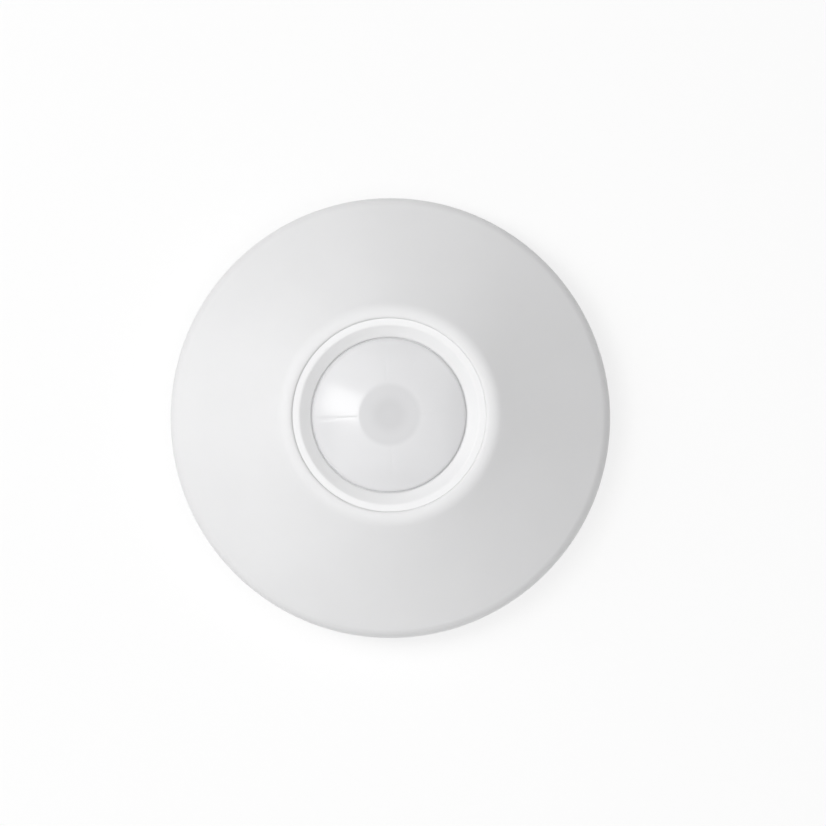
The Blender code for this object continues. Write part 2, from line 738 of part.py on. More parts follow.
def capacitors():
    """Electrolytic cans in sleeves, with the groove near the board and the sunk top."""
    for name, (place, radius, height) in CAPACITORS.items():
        top = SEAT + height
        profile = [
            (0, top - 0.3 * MM),
            (radius - 1.0 * MM, top - 0.3 * MM),
            (radius - 0.8 * MM, top),
            (radius - 0.4 * MM, top),
            (radius, top - 0.5 * MM),
            (radius, SEAT + 2.2 * MM),
            (radius - 0.4 * MM, SEAT + 1.8 * MM),
            (radius, SEAT + 1.4 * MM),
            (radius, SEAT),
            (0, SEAT),
        ]
        can = turned(name, profile, SLEEVE, place, steps=SMALL_STEPS, ring=False)
        join(can, legs("can leads", capacitor_leads(radius), SEAT + 0.8 * MM))


def varistor_leads():
    return [(0, -PITCH), (0, PITCH)]


def varistor():
    """The surge suppressor: an upright disc on two leads."""
    radius, thickness = 3.6 * MM, 3.2 * MM
    upright = Matrix.Rotation(math.pi / 2, 4, "Y")
    disc = rod("surge_varistor", radius, -thickness / 2, thickness / 2, ORANGE, sides=MID_STEPS)
    disc.data.transform(Matrix.Translation((0, 0, SEAT + 0.8 * MM + radius)) @ upright)
    disc.location = VARISTOR_PLACE
    soften(disc, 0.8 * MM, 2)
    return join(disc, legs("varistor leads", varistor_leads(), SEAT + 0.8 * MM + radius))


def crystal_leads():
    return [(-2.44 * MM, 0), (2.44 * MM, 0)]


def clock_crystal():
    flange = plate(
        "clock_crystal", [obround(11.2 * MM, 4.7 * MM)], SEAT, SEAT + 0.5 * MM, NICKEL, CRYSTAL_PLACE
    )
    join(flange, plate("crystal can", [obround(10.2 * MM, 3.8 * MM)], SEAT + 0.2 * MM, SEAT + 3.5 * MM))
    return join(flange, legs("crystal leads", crystal_leads(), SEAT + 0.3 * MM))


def gull_wing(width):
    """A chip lead along +X from where it leaves the body: level, down to the board, and along to its foot."""
    thick, rise, bend, foot = 0.25 * MM, 0.85 * MM, 0.4 * MM, 1.1 * MM
    inside = -0.4 * MM
    over = [(inside, rise), (bend, rise), (bend + thick, thick), (foot, thick)]
    under = [(foot, 0), (bend, 0), (bend - thick, rise - thick), (inside, rise - thick)]
    lead = plate("lead", [over + under], -width / 2, width / 2)
    lead.data.transform(Matrix.Rotation(math.pi / 2, 4, "X"))
    return lead


def chip(name, body, pitch, sides, place, turn=0):
    """A surface-mount chip. sides maps the angle that a side faces to its number of leads."""
    width, depth, height = body
    lift = 0.2 * MM
    made = block(name, body, (0, 0, SEAT + lift + height / 2), BLACK, place)
    made.rotation_euler.z = math.radians(turn)
    lead = gull_wing(0.35 * pitch)
    leads = bmesh.new()
    for angle, count in sides.items():
        reach = (depth if angle % 180 else width) / 2
        for number in range(count):
            along = (number - (count - 1) / 2) * pitch
            copy = lead.data.copy()
            facing = Matrix.Rotation(math.radians(angle), 4, "Z")
            copy.transform(facing @ Matrix.Translation((reach, along, SEAT)))
            leads.from_mesh(copy)
    bpy.data.objects.remove(lead)
    return join(made, mesh_object(name + " leads", leads, (0, 0, 0), None))


def chips():
    controller = (7 * MM, 7 * MM, 1.4 * MM)
    chip("microcontroller", controller, 1.6 * MM, {0: 4, 90: 4, 180: 4, 270: 4}, (14 * MM, 25 * MM, 0))
    amplifier = (4 * MM, 8.7 * MM, 1.5 * MM)
    chip("signal_amplifier", amplifier, 1.27 * MM, {0: 6, 180: 6}, (-21 * MM, 17.5 * MM, 0), 50)
    regulator = (6.5 * MM, 3.5 * MM, 1.7 * MM)
    chip("voltage_regulator", regulator, 2.3 * MM, {90: 1, 270: 3}, (-20.5 * MM, 4 * MM, 0), 90)


# --- screw terminals ----------------------------------------------------------------------------


TERMINAL_PIN_Y = 2.1 * MM  # the pins' place, behind the screws
BAR_LOW = CHAMBER_LOW + 2.7 * MM
BAR_TOP = BAR_LOW + 0.8 * MM
CAGE_LOW = CHAMBER_LOW + 0.3 * MM
CAGE_TOP = BAR_TOP + GAP + 0.8 * MM
HEAD_LOW = CHAMBER_LOW + CHAMBER.z + 0.6 * MM


def terminal_x(index):
    return (index - (TERMINALS - 1) / 2) * CELL


def terminal_housing():
    """One moulding with a chamber, a wire mouth, a screw well and a pin slot in each cell."""
    size = (TERMINALS * CELL + 0.6 * MM, TERMINAL_DEPTH, TERMINAL_TOP - SEAT)
    centre = (0, 0, (SEAT + TERMINAL_TOP) / 2)
    housing = block("terminal_housing", size, centre, GREEN, (0, TERMINAL_Y, 0), 0.35 * MM)
    mouth = Vector((3.1 * MM, 6 * MM, 3.2 * MM))
    slit = Vector((1.6 * MM, 1.4 * MM, 4 * MM))
    spaces = []
    for x in map(terminal_x, range(TERMINALS)):
        spaces.append((CHAMBER, (x, 0, CHAMBER_LOW + CHAMBER.z / 2)))
        spaces.append((mouth, (x, -TERMINAL_DEPTH / 2, CAGE_LOW + mouth.z / 2)))
        spaces.append((slit, (x, TERMINAL_PIN_Y - 0.3 * MM, SEAT)))
        well_low = CHAMBER_LOW + CHAMBER.z - 0.5 * MM
        cut(housing, rod("screw well", 1.95 * MM, well_low, TERMINAL_TOP + MM, at=(x, 0)))
    cut(housing, blocks("cell spaces", spaces))
    housing.modifiers[-1].use_self = True  # the boxes in it overlap each other
    return housing


def terminal_places():
    return [(terminal_x(index), TERMINAL_Y, 0) for index in range(TERMINALS)]


def terminal_screws():
    radius, shank = 1.65 * MM, 1.1 * MM
    head_top = HEAD_LOW + 1.6 * MM
    profile = [
        (0, head_top),
        (radius - 0.2 * MM, head_top),
        (radius, head_top - 0.2 * MM),
        (radius, HEAD_LOW),
        (shank, HEAD_LOW),
        (shank, BAR_TOP + GAP),
        (0, BAR_TOP + GAP),
    ]
    screw = turned("terminal screw", profile, steps=12, ring=False)
    cut(screw, block("driver slot", (4 * MM, 0.6 * MM, 1.6 * MM), (0, 0, head_top)))
    return copies("terminal_screw", screw, STEEL, terminal_places())


def clamp_cages():
    """Square loops that rise up their screws and pinch a wire against the contact bar."""
    size = Vector((3.2 * MM, 3.0 * MM, CAGE_TOP - CAGE_LOW))
    cage = block("clamp cage", size, (0, 0, (CAGE_LOW + CAGE_TOP) / 2))
    inside_low, inside_high = CAGE_LOW + 0.6 * MM, BAR_TOP + GAP
    inside = (2.2 * MM, 2 * size.y, inside_high - inside_low)
    cut(cage, block("wire space", inside, (0, 0, (inside_low + inside_high) / 2)))
    cut(cage, rod("thread hole", shank_clear(), BAR_TOP, CAGE_TOP + MM, sides=12))
    return copies("clamp_cage", cage, STEEL, terminal_places())


def shank_clear():
    """The hole round a terminal screw's shank, which stands for its thread."""
    return 1.1 * MM + GAP


def contact_bars():
    """The fixed bar inside each cage, with its leg down through the housing and the board."""
    width = 1.0 * MM
    front = -1.6 * MM
    back = TERMINAL_PIN_Y + LEAD / 2
    bar_size = (width, back - front, BAR_TOP - BAR_LOW)
    bar = block("contact bar", bar_size, (0, (front + back) / 2, (BAR_LOW + BAR_TOP) / 2))
    join(bar, legs("contact leg", [(0, TERMINAL_PIN_Y)], BAR_LOW + 0.4 * MM))
    return copies("contact_bar", bar, NICKEL, terminal_places())


# --- assembly -----------------------------------------------------------------------------------


base_plate()
front_cover()
lens_bezel()
fresnel_lens()
lens_gasket()
main_board()
board_screws()
optics_shroud()
pir_parts()
status_led()
trimpot()
jumpers()
tamper_switch()
alarm_relay()
capacitors()
varistor()
clock_crystal()
chips()
terminal_housing()
terminal_screws()
clamp_cages()
contact_bars()
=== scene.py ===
"""The looks of a round infrared motion sensor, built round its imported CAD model.

Shapes are given in millimetres in the model's frame: the lens faces +Z and the wiring side is -Y. Heights
and places come from the CAD nodes that the pieces stand for.
"""

from math import acos, atan2, cos, degrees, dist, hypot, pi, radians, sin, sqrt, tan

import bmesh
import bpy
from mathutils import Matrix, Vector


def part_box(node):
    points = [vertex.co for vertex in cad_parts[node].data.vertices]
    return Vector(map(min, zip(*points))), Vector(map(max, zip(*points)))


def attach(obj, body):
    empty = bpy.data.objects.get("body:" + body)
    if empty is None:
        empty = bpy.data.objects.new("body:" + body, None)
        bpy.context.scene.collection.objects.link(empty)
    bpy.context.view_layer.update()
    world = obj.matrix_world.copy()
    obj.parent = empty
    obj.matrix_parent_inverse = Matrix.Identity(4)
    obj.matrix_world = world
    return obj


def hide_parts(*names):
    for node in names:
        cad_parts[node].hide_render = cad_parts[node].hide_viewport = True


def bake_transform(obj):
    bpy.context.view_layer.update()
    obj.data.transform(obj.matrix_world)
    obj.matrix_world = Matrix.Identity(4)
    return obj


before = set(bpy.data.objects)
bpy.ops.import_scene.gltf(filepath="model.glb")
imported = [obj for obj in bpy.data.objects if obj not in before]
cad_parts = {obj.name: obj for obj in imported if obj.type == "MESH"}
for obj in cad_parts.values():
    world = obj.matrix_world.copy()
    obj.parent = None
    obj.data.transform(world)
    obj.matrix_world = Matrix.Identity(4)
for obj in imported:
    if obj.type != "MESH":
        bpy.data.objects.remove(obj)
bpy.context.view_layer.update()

MM = 0.001
FINE = 256  # sides of the casing's turned pieces
MEDIUM = 96
SMALL = 40
SIDES = (-1, 1)
ON_EDGE = Matrix.Rotation(pi / 2, 4, "X")  # stands a flat outline up, so that its y becomes height


# --- shapes ---


def add_object(name, data):
    obj = bpy.data.objects.new(name, data)
    bpy.context.scene.collection.objects.link(obj)
    return obj


def box_mm(node):
    low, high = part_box(node)
    return low / MM, high / MM


def middle(node):
    """A node's middle, as seen from the front."""
    low, high = box_mm(node)
    return (low + high).xy / 2


def radius_of(node):
    low, high = box_mm(node)
    return (high.x - low.x) / 2


def arc(centre, radius, start, end, steps):
    """Points on an arc, angles in degrees from the first axis towards the second."""
    angles = (radians(start + (end - start) * i / steps) for i in range(steps + 1))
    return [(centre[0] + radius * cos(a), centre[1] + radius * sin(a)) for a in angles]


def shoulder(radius, top, soft, steps):
    """The rounded upper outer edge of a turned piece."""
    return arc((radius - soft, top - soft), soft, 90, 0, steps)


def heel(radius, low, soft, steps):
    """The rounded lower outer edge of a turned piece."""
    return arc((radius - soft, low + soft), soft, 0, -90, steps)


def circle(radius, sides, at=(0, 0)):
    return arc(at, radius, 0, 360 * (sides - 1) / sides, sides - 1)


def obround(length, width, at=(0, 0), steps=16):
    straight = (length - width) / 2
    right = arc((at[0] + straight, at[1]), width / 2, -90, 90, steps)
    return right + arc((at[0] - straight, at[1]), width / 2, 90, 270, steps)


def sector(inner, outer, start, end):
    steps = max(3, round(abs(end - start)))
    return arc((0, 0), outer, start, end, steps) + arc((0, 0), inner, end, start, steps)


def shifted(place, points):
    return [(place[0] + x, place[1] + y) for x, y in points]


def placed(at, turn=0.0):
    """A matrix that turns about Z by degrees, then moves to a place of two or three numbers."""
    return Matrix.Translation((*at, 0)[:3]) @ Matrix.Rotation(radians(turn), 4, "Z")


class Shape:
    """Geometry in millimetres. Each part that is added takes one of the finished piece's materials."""

    def __init__(self):
        self.mesh = bmesh.new()
        self.steps = []

    def take(self, part, finish=None):
        """Takes in a bmesh, all in one finish if that is given."""
        if finish is not None:
            for face in part.faces:
                face.material_index = finish
        mesh = bpy.data.meshes.new("part")
        part.to_mesh(mesh)
        part.free()
        self.mesh.from_mesh(mesh)
        bpy.data.meshes.remove(mesh)
        return self

    def add(self, part, finish=0, at=(0, 0), turn=0.0, tilt=None):
        """Takes in a bmesh, tilted if a matrix is given, then turned about Z by degrees, then moved."""
        matrix = placed(at, turn) @ (tilt or Matrix.Identity(4))
        bmesh.ops.transform(part, matrix=matrix, verts=part.verts)
        bmesh.ops.recalc_face_normals(part, faces=part.faces)
        return self.take(part, finish)

    def moved(self, at=(0, 0), turn=0.0):
        bmesh.ops.transform(self.mesh, matrix=placed(at, turn), verts=self.mesh.verts)
        return self

    def box(self, size, centre=(0, 0, 0), soft=0.0, **how):
        part = bmesh.new()
        matrix = Matrix.Translation(centre) @ Matrix.Diagonal((*size, 1))
        bmesh.ops.create_cube(part, size=1, matrix=matrix)
        if soft:
            bmesh.ops.bevel(part, geom=part.edges[:], offset=soft, segments=3, profile=0.5, affect="EDGES")
        return self.add(part, **how)

    def turned(self, profile, steps=MEDIUM, **how):
        """A solid turned about Z from (r, z) points. One that doesn't end on the axis closes on itself."""
        part = bmesh.new()
        turns = [(cos(a), sin(a)) for a in (2 * pi * i / steps for i in range(steps))]
        rings = []
        for r, z in profile:
            round_it = turns if r > 1e-6 else [(0, 0)]
            rings.append([part.verts.new((r * c, r * s, z)) for c, s in round_it])
        pairs = list(zip(rings, rings[1:]))
        if len(rings[0]) > 1 and len(rings[-1]) > 1:
            pairs.append((rings[-1], rings[0]))
        for upper, lower in pairs:
            if min(len(upper), len(lower)) == 1 and upper[0].co.z == lower[0].co.z:
                part.faces.new(max(upper, lower, key=len))  # a flat end is one face
                continue
            for i in range(steps):
                above = upper if len(upper) == 1 else [upper[i - 1], upper[i]]
                below = lower if len(lower) == 1 else [lower[i], lower[i - 1]]
                part.faces.new([*above, *below])
        bmesh.ops.delete(part, geom=[v for v in part.verts if not v.link_faces], context="VERTS")
        return self.add(part, **how)

    def rod(self, radius, low, high, soft=0.0, steps=SMALL, **how):
        side = [(radius, high), (radius, low)]
        if soft:
            side = shoulder(radius, high, soft, 4) + heel(radius, low, soft, 4)
        return self.turned([(0, high), *side, (0, low)], steps, **how)

    def plate(self, outlines, low, high, **how):
        """A flat piece cut to the first outline, with the others as holes."""
        part = bmesh.new()
        edges = []
        for outline in outlines:
            points = [part.verts.new((x, y, low)) for x, y in outline]
            edges += [part.edges.new((points[i - 1], points[i])) for i in range(len(points))]
        filled = bmesh.ops.triangle_fill(part, use_beauty=True, use_dissolve=True, edges=edges)
        faces = [item for item in filled["geom"] if isinstance(item, bmesh.types.BMFace)]
        raised = bmesh.ops.extrude_face_region(part, geom=faces, use_keep_orig=True)
        tops = [item for item in raised["geom"] if isinstance(item, bmesh.types.BMVert)]
        bmesh.ops.translate(part, vec=(0, 0, high - low), verts=tops)
        return self.add(part, **how)

    def upright(self, outline, thickness, **how):
        """A plate on its edge. Its outline is in the (r, z) plane, and it is centred on +X."""
        return self.plate([outline], -thickness / 2, thickness / 2, tilt=ON_EDGE, **how)

    def tube(self, points, radius, sides, **how):
        """A round wire through the points."""
        part = bmesh.new()
        points = [Vector(point) for point in points]
        rings = []
        for i, point in enumerate(points):
            along = (points[min(i + 1, len(points) - 1)] - points[max(i - 1, 0)]).normalized()
            side = along.cross(Vector((0, 0, 1)))
            side = side.normalized() if side.length > 1e-3 else Vector((1, 0, 0))
            other = along.cross(side)
            rings.append([part.verts.new(point + side * x + other * y) for x, y in circle(radius, sides)])
        for first, second in zip(rings, rings[1:]):
            for k in range(sides):
                part.faces.new((first[k - 1], first[k], second[k], second[k - 1]))
        part.faces.new(rings[0])
        part.faces.new(rings[-1])
        return self.add(part, **how)

    def pins(self, name, top, width, finish=1):
        """A part's square leads, which come out pointed under the board."""
        corner, tip = width * sqrt(0.5), width / 5
        profile = [(0, top), (corner, top), (corner, LEAD_LOW + width), (tip, LEAD_LOW), (0, LEAD_LOW)]
        for at in leads_of(name):
            self.turned(profile, 4, finish=finish, at=at, turn=45)
        return self

    def to_object(self, name):
        mesh = bpy.data.meshes.new(name)
        self.mesh.to_mesh(mesh)
        return add_object(name, mesh)

    def join(self, *tools):
        """Notes shapes that carved() joins to this one."""
        self.steps += [("UNION", tool) for tool in tools]
        return self

    def cut(self, *tools):
        """Notes shapes that carved() cuts from this one."""
        self.steps += [("DIFFERENCE", tool) for tool in tools]
        return self

    def carved(self):
        """A new shape: this one, joined and cut with what was noted, in the order of the notes."""
        target = self.to_object("target")
        tools = []
        for operation, tool in self.steps:
            modifier = target.modifiers.new("step", "BOOLEAN")
            modifier.operation = operation
            modifier.object = tool.to_object("tool")
            tools.append(modifier.object)
        bpy.context.view_layer.update()
        mesh = bpy.data.meshes.new_from_object(target.evaluated_get(bpy.context.evaluated_depsgraph_get()))
        result = Shape()
        result.mesh.from_mesh(mesh)
        for used in (target, *tools):
            bpy.data.objects.remove(used)
        return result


def node_box(node, soft, foot=None):
    """A box of a CAD node's size, or from the foot's height up if that is given."""
    low, high = box_mm(node)
    if foot is not None:
        low.z = foot
    return Shape().box(high - low, (low + high) / 2, soft)


def in_metres(name, shape, finishes):
    bmesh.ops.scale(shape.mesh, vec=(MM, MM, MM), verts=shape.mesh.verts)
    obj = shape.to_object(name)
    for finish in finishes:
        obj.data.materials.append(finish)
    return obj


def piece(name, shape, finishes, replaces=(), body="base", sharp=32):
    """Makes the shape a piece of the sensor that rides on a body and stands for CAD nodes."""
    obj = in_metres(name, shape, finishes)
    obj.data.shade_smooth()
    obj.data.set_sharp_from_angle(angle=radians(sharp))
    obj.modifiers.new("flat_faces_stay_flat", "WEIGHTED_NORMAL").keep_sharp = True
    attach(obj, body)
    if replaces:
        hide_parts(*replaces)


# --- materials ---


def node(tree, kind, inputs, output=0, **settings):
    """Adds a shader node and gives one of its outputs. Inputs are values or other nodes' outputs."""
    made = tree.nodes.new("ShaderNode" + kind)
    for key, value in settings.items():
        setattr(made, key, value)
    for key, value in inputs.items():
        if isinstance(value, bpy.types.NodeSocket):
            tree.links.new(value, made.inputs[key])
        else:
            made.inputs[key].default_value = value
    return made.outputs[output]


def noise(tree, size, detail=3.0):
    """Noise in the piece's own space, with lumps of about this many millimetres."""
    place = node(tree, "TexCoord", {}, "Object")
    return node(tree, "TexNoise", {"Vector": place, "Scale": 1 / (size * MM), "Detail": detail}, "Fac")


def maths(tree, operation, first, second):
    return node(tree, "Math", {0: first, 1: second}, operation=operation)


def remap(tree, value, start, end, low=0.0, high=1.0, **settings):
    """The value, with start to end stretched to low to high."""
    limits = {"From Min": start, "From Max": end, "To Min": low, "To Max": high}
    return node(tree, "MapRange", {"Value": value, **limits}, **settings)


def blend_colours(tree, amount, *colours):
    first, second = [c if isinstance(c, bpy.types.NodeSocket) else (*c, 1) for c in colours]
    return node(tree, "Mix", {0: amount, 6: first, 7: second}, 2, data_type="RGBA")


def surface(
    name, colour, roughness, grain, depth, drift=0.04, patch=14.0, metallic=0, spread=0.06, worn=None, **fixed
):
    """A material with fine grain in its bump, and slow drift in its colour and roughness.

    grain and patch are the sizes of the two textures and depth the grain's height, all in millimetres. worn
    is a colour that shows along outer edges. Values in fixed go to the shader's sockets of those names.
    """
    made = bpy.data.materials.new(name)
    made.use_nodes = True
    made.diffuse_color = (*colour, 1)
    tree = made.node_tree
    shader = tree.nodes["Principled BSDF"].inputs
    fixed = {"Base Color": (*colour, 1), "Roughness": roughness, "Metallic": metallic, **fixed}
    for socket, value in fixed.items():
        shader[socket.replace("_", " ")].default_value = value
    slow, fine = noise(tree, patch), noise(tree, grain, 5.0)
    dark, light = ([min(1.0, channel * (1 + change)) for channel in colour] for change in (-drift, drift))
    tone = blend_colours(tree, remap(tree, slow, 0.3, 0.7), dark, light)
    if worn:
        edge = node(tree, "NewGeometry", {}, "Pointiness")
        tone = blend_colours(tree, remap(tree, edge, 0.53, 0.62), tone, worn)
    tree.links.new(tone, shader["Base Color"])
    mixed = maths(tree, "MULTIPLY", maths(tree, "ADD", slow, fine), 0.5)
    rough = remap(tree, mixed, 0.3, 0.7, roughness - spread, roughness + spread)
    tree.links.new(rough, shader["Roughness"])
    bump = node(tree, "Bump", {"Height": fine, "Distance": depth * MM, "Strength": 1.0})
    tree.links.new(bump, shader["Normal"])
    return made


def distance_from_axis(tree):
    """Distance from the sensor's axis, in millimetres."""
    place = node(tree, "TexCoord", {}, "Object")
    flat = node(tree, "VectorMath", {0: place, 1: (1 / MM, 1 / MM, 0)}, operation="MULTIPLY")
    return node(tree, "VectorMath", {0: flat}, "Value", operation="LENGTH")


def lens_surface_with_painted_shade():
    """Milky film, greyer by painted shade over the sensing can, the round middle segment and the outer edge.
    """
    made = surface("lens_film_painted_shade", (0.75, 0.75, 0.76), 0.17, 0.5, 0.003, 0.015, spread=0.03, IOR=1.45)
    tree = made.node_tree
    socket = tree.nodes["Principled BSDF"].inputs["Base Color"]
    tone = socket.links[0].from_socket
    radius = distance_from_axis(tree)
    # middle segment and can spot: the dark can seen through the film; outer edge ring: the bezel's shaded
    # recess
    # painted shade: each ring darkens the film's colour towards near black; (radius, half its soft edge,
    # shade)
    for reach, soft, shade in ((8.0, 0.8, 0.12), (4.2, 1.8, 0.08), (19.4, -0.5, 0.06)):
        inside = remap(tree, radius, reach + soft, reach - soft, interpolation_type="SMOOTHSTEP")
        tone = blend_colours(tree, maths(tree, "MULTIPLY", inside, shade), tone, (0.12, 0.12, 0.13))
    tree.links.new(tone, socket)
    return made


# The numbers are roughness, the grain's size and depth, the colour's drift and the size of its patches.
PLASTIC = surface("casing_plastic", (0.8, 0.8, 0.805), 0.42, 0.32, 0.006, 0.012, 22, IOR=1.5)
RING_PLASTIC = surface("ring_plastic", (0.86, 0.86, 0.865), 0.38, 0.32, 0.005, 0.012, 22, IOR=1.5)
FILM_WITH_PAINTED_SHADE = lens_surface_with_painted_shade()
FOAM = surface("gasket_foam", (0.055, 0.055, 0.06), 0.92, 0.35, 0.12, 0.25, 2)
MASK = surface("solder_mask", (0.016, 0.16, 0.06), 0.32, 0.8, 0.012, 0.12, 5, Coat_Weight=0.25)
TRACE = surface("masked_copper", (0.045, 0.27, 0.1), 0.3, 0.8, 0.01, 0.08, 5, Coat_Weight=0.25)
INK = surface("legend_ink", (0.78, 0.78, 0.74), 0.6, 0.3, 0.01, 0.05)
SOLDER = surface("solder", (0.6, 0.6, 0.61), 0.28, 0.7, 0.03, 0.1, 1.5, 1)
ZINC = surface("zinc_steel", (0.56, 0.57, 0.6), 0.34, 0.25, 0.008, 0.08, 2.5, 1, worn=(0.75, 0.75, 0.76))
NICKEL = surface("nickel_plate", (0.66, 0.64, 0.6), 0.22, 0.4, 0.004, 0.05, 3, 1, worn=(0.8, 0.79, 0.76))
GOLD = surface("gold_flash", (0.85, 0.62, 0.28), 0.25, 0.3, 0.004, 0.05, 2, 1)
SILICON = surface("filter_window", (0.045, 0.035, 0.06), 0.1, 1.0, 0.001, 0.2, 1.5, Coat_Weight=0.6)
CERAMIC = surface("ceramic_chip", (0.7, 0.66, 0.58), 0.5, 0.2, 0.008, 0.06, 1)
TAN = surface("ceramic_capacitor", (0.47, 0.33, 0.2), 0.45, 0.2, 0.006, 0.08, 1)
NYLON = surface("nylon", (0.78, 0.78, 0.74), 0.45, 0.4, 0.008, 0.03, 6, IOR=1.53)
BLACK = surface("black_epoxy", (0.022, 0.022, 0.024), 0.5, 0.16, 0.012, 0.25, 3, worn=(0.09, 0.09, 0.09))
GREEN = surface("terminal_plastic", (0.028, 0.2, 0.075), 0.4, 0.3, 0.008, 0.07, worn=(0.08, 0.32, 0.16))
BLUE = surface("blue_plastic", (0.02, 0.08, 0.34), 0.38, 0.3, 0.008, 0.08, 4, worn=(0.08, 0.2, 0.5))
RED = surface("red_epoxy", (0.62, 0.02, 0.015), 0.18, 0.8, 0.003, 0.1, 1.5, Transmission_Weight=0.35)
ORANGE = surface("varistor_epoxy", (0.62, 0.17, 0.02), 0.35, 0.5, 0.02, 0.1, 2, Coat_Weight=0.3)
SLEEVE = surface("capacitor_sleeve", (0.03, 0.045, 0.11), 0.3, 0.6, 0.004, 0.1, Coat_Weight=0.3)
CAN = surface("aluminium_top", (0.75, 0.76, 0.77), 0.3, 0.2, 0.005, 0.05, 2, 1)


# --- casing ---

CONE_SLOPE = 31  # degrees
SLOPE = radians(CONE_SLOPE)
COLLAR_ROUND = 6.0
RIM_ROUND = 4.0
SEAT_RADIUS = 25.2
SEAT_EDGE = 0.95
COLLAR_FLAT = 1.2
COLLAR_WALL = 27.4
FIT = 0.015  # the play round the bezel
COVER_WALL = 2.0
RIM_WALL = 2.6
CATCHES = (30, 150, 270)
CATCH_SPAN = 7
HOOKS = (15, 135, 255)
RIB_COUNT = 12
KEY_X = 22.8  # where two keys on the ledge stop the lens from turning
BOARD_SCREWS = [f"board_screw_{number}" for number in (1, 2, 3)]

cover_low, cover_high = box_mm("front_cover")
base_high = box_mm("base_plate")[1]
gasket_low, gasket_high = box_mm("lens_gasket")
board_low, board_high = box_mm("main_board")
lens_high = box_mm("fresnel_lens")[1]
bezel_high = box_mm("lens_bezel")[1]
LEDGE_TOP = gasket_low.z - 0.3
LEDGE_LOW = LEDGE_TOP - 2.0
LENS_FLANGE_TOP = gasket_high.z + 1.3
RIM_INNER = cover_high.x - RIM_WALL
BOARD_TOP = board_high.z
SEAT = BOARD_TOP + 0.05  # the parts sit down on the board


def cone_height(radius):
    start = SEAT_RADIUS + COLLAR_FLAT + COLLAR_ROUND * sin(SLOPE)
    height = cover_high.z - COLLAR_ROUND * (1 - cos(SLOPE))
    return height - (radius - start) * tan(SLOPE)


def underside(radius):
    return cone_height(radius) - COVER_WALL / cos(SLOPE)


def corner_arc(radius, height, size, steps):
    """The round between the cone, which comes down to this corner, and the upright wall below it."""
    drop = size * tan(radians((90 - CONE_SLOPE) / 2))
    return arc((radius - size, height - drop), size, 90 - CONE_SLOPE, 0, steps)


def cover_profile():
    wall = cover_high.x
    collar_centre = (SEAT_RADIUS + COLLAR_FLAT, cover_high.z - COLLAR_ROUND)
    step_up = cover_high.z - bezel_high.z
    lip = [
        (SEAT_RADIUS + SEAT_EDGE * (1 + across), bezel_high.z + step_up * up)
        for across, up in arc((0, 0), 1, 180, 90, 8)
    ]
    return [
        (19.2, LEDGE_TOP - 0.2), (19.4, LEDGE_TOP),
        (SEAT_RADIUS - 0.3, LEDGE_TOP), (SEAT_RADIUS, LEDGE_TOP + 0.3),
        *lip,
        *arc(collar_centre, COLLAR_ROUND, 90, 90 - CONE_SLOPE, 14),
        *corner_arc(wall - 0.2, cone_height(wall - 0.2), RIM_ROUND, 18),
        *heel(wall, cover_low.z, 0.4, 5),
        (RIM_INNER + 0.3, cover_low.z), (RIM_INNER, cover_low.z + 0.3),
        *corner_arc(RIM_INNER, underside(RIM_INNER), 2.0, 8)[::-1],
        (COLLAR_WALL + 0.5, underside(COLLAR_WALL + 0.5)), (COLLAR_WALL, underside(COLLAR_WALL) - 0.5),
        (COLLAR_WALL, LEDGE_LOW + 0.2), (COLLAR_WALL - 0.2, LEDGE_LOW),
        (19.4, LEDGE_LOW), (19.2, LEDGE_LOW + 0.2),
    ]


def catches(inner, outer, low, high):
    """The short ridges by which the cover and the base hold each other."""
    spans = [(angle - CATCH_SPAN, angle + CATCH_SPAN) for angle in CATCHES]
    return [Shape().plate([sector(inner, outer, *span)], low, high) for span in spans]


def tamper_post():
    """The post that holds the tamper plunger down, cut off along the cone to stay inside the cover."""
    place = middle("tamper_plunger")
    low = box_mm("tamper_plunger")[1].z + 0.3
    root = underside(place.length) + 0.8
    profile = [(0, root + 2), (2.9, root + 2), (2.5, root - 2.5), (2.2, low + 0.3), (1.9, low), (0, low)]
    top = underside(30) + 9
    above = [(30, underside(30) + 0.8), (50, underside(50) + 0.8), (50, top), (30, top)]
    return Shape().turned(profile, SMALL, at=place).cut(Shape().turned(above, FINE)).carved()


def cover_shell():
    shell = Shape().turned(cover_profile(), FINE)
    for side in SIDES:
        shell.join(Shape().box((1.0, 1.6, 2.1), (side * KEY_X, 0, LEDGE_TOP + 0.95), 0.15))
    shell.join(*catches(RIM_INNER - 0.35, RIM_INNER + 1, cover_low.z + 0.8, cover_low.z + 2.1))
    shell.join(tamper_post())
    near, far = 29.5, 53.5
    rib = [
        (near, underside(near) + 0.6), (far, underside(far) + 0.6), (far, underside(far) - 1.0),
        (near + 1.5, underside(near) - 1.2),
    ]
    for number in range(RIB_COUNT):
        shell.join(Shape().upright(rib, 0.9).moved(turn=(number + 0.5) * 360 / RIB_COUNT))
    for angle in HOOKS:
        shell.cut(Shape().plate([sector(23.5, 25.0, angle - 1, angle + 24)], LEDGE_LOW - 1, LEDGE_TOP + 1))
    shell.cut(Shape().box((8, 4, 2), (0, -cover_high.x + 1, cover_low.z), 0.3))
    piece("cover_shell", shell.carved(), [PLASTIC], ["front_cover"], "cover")


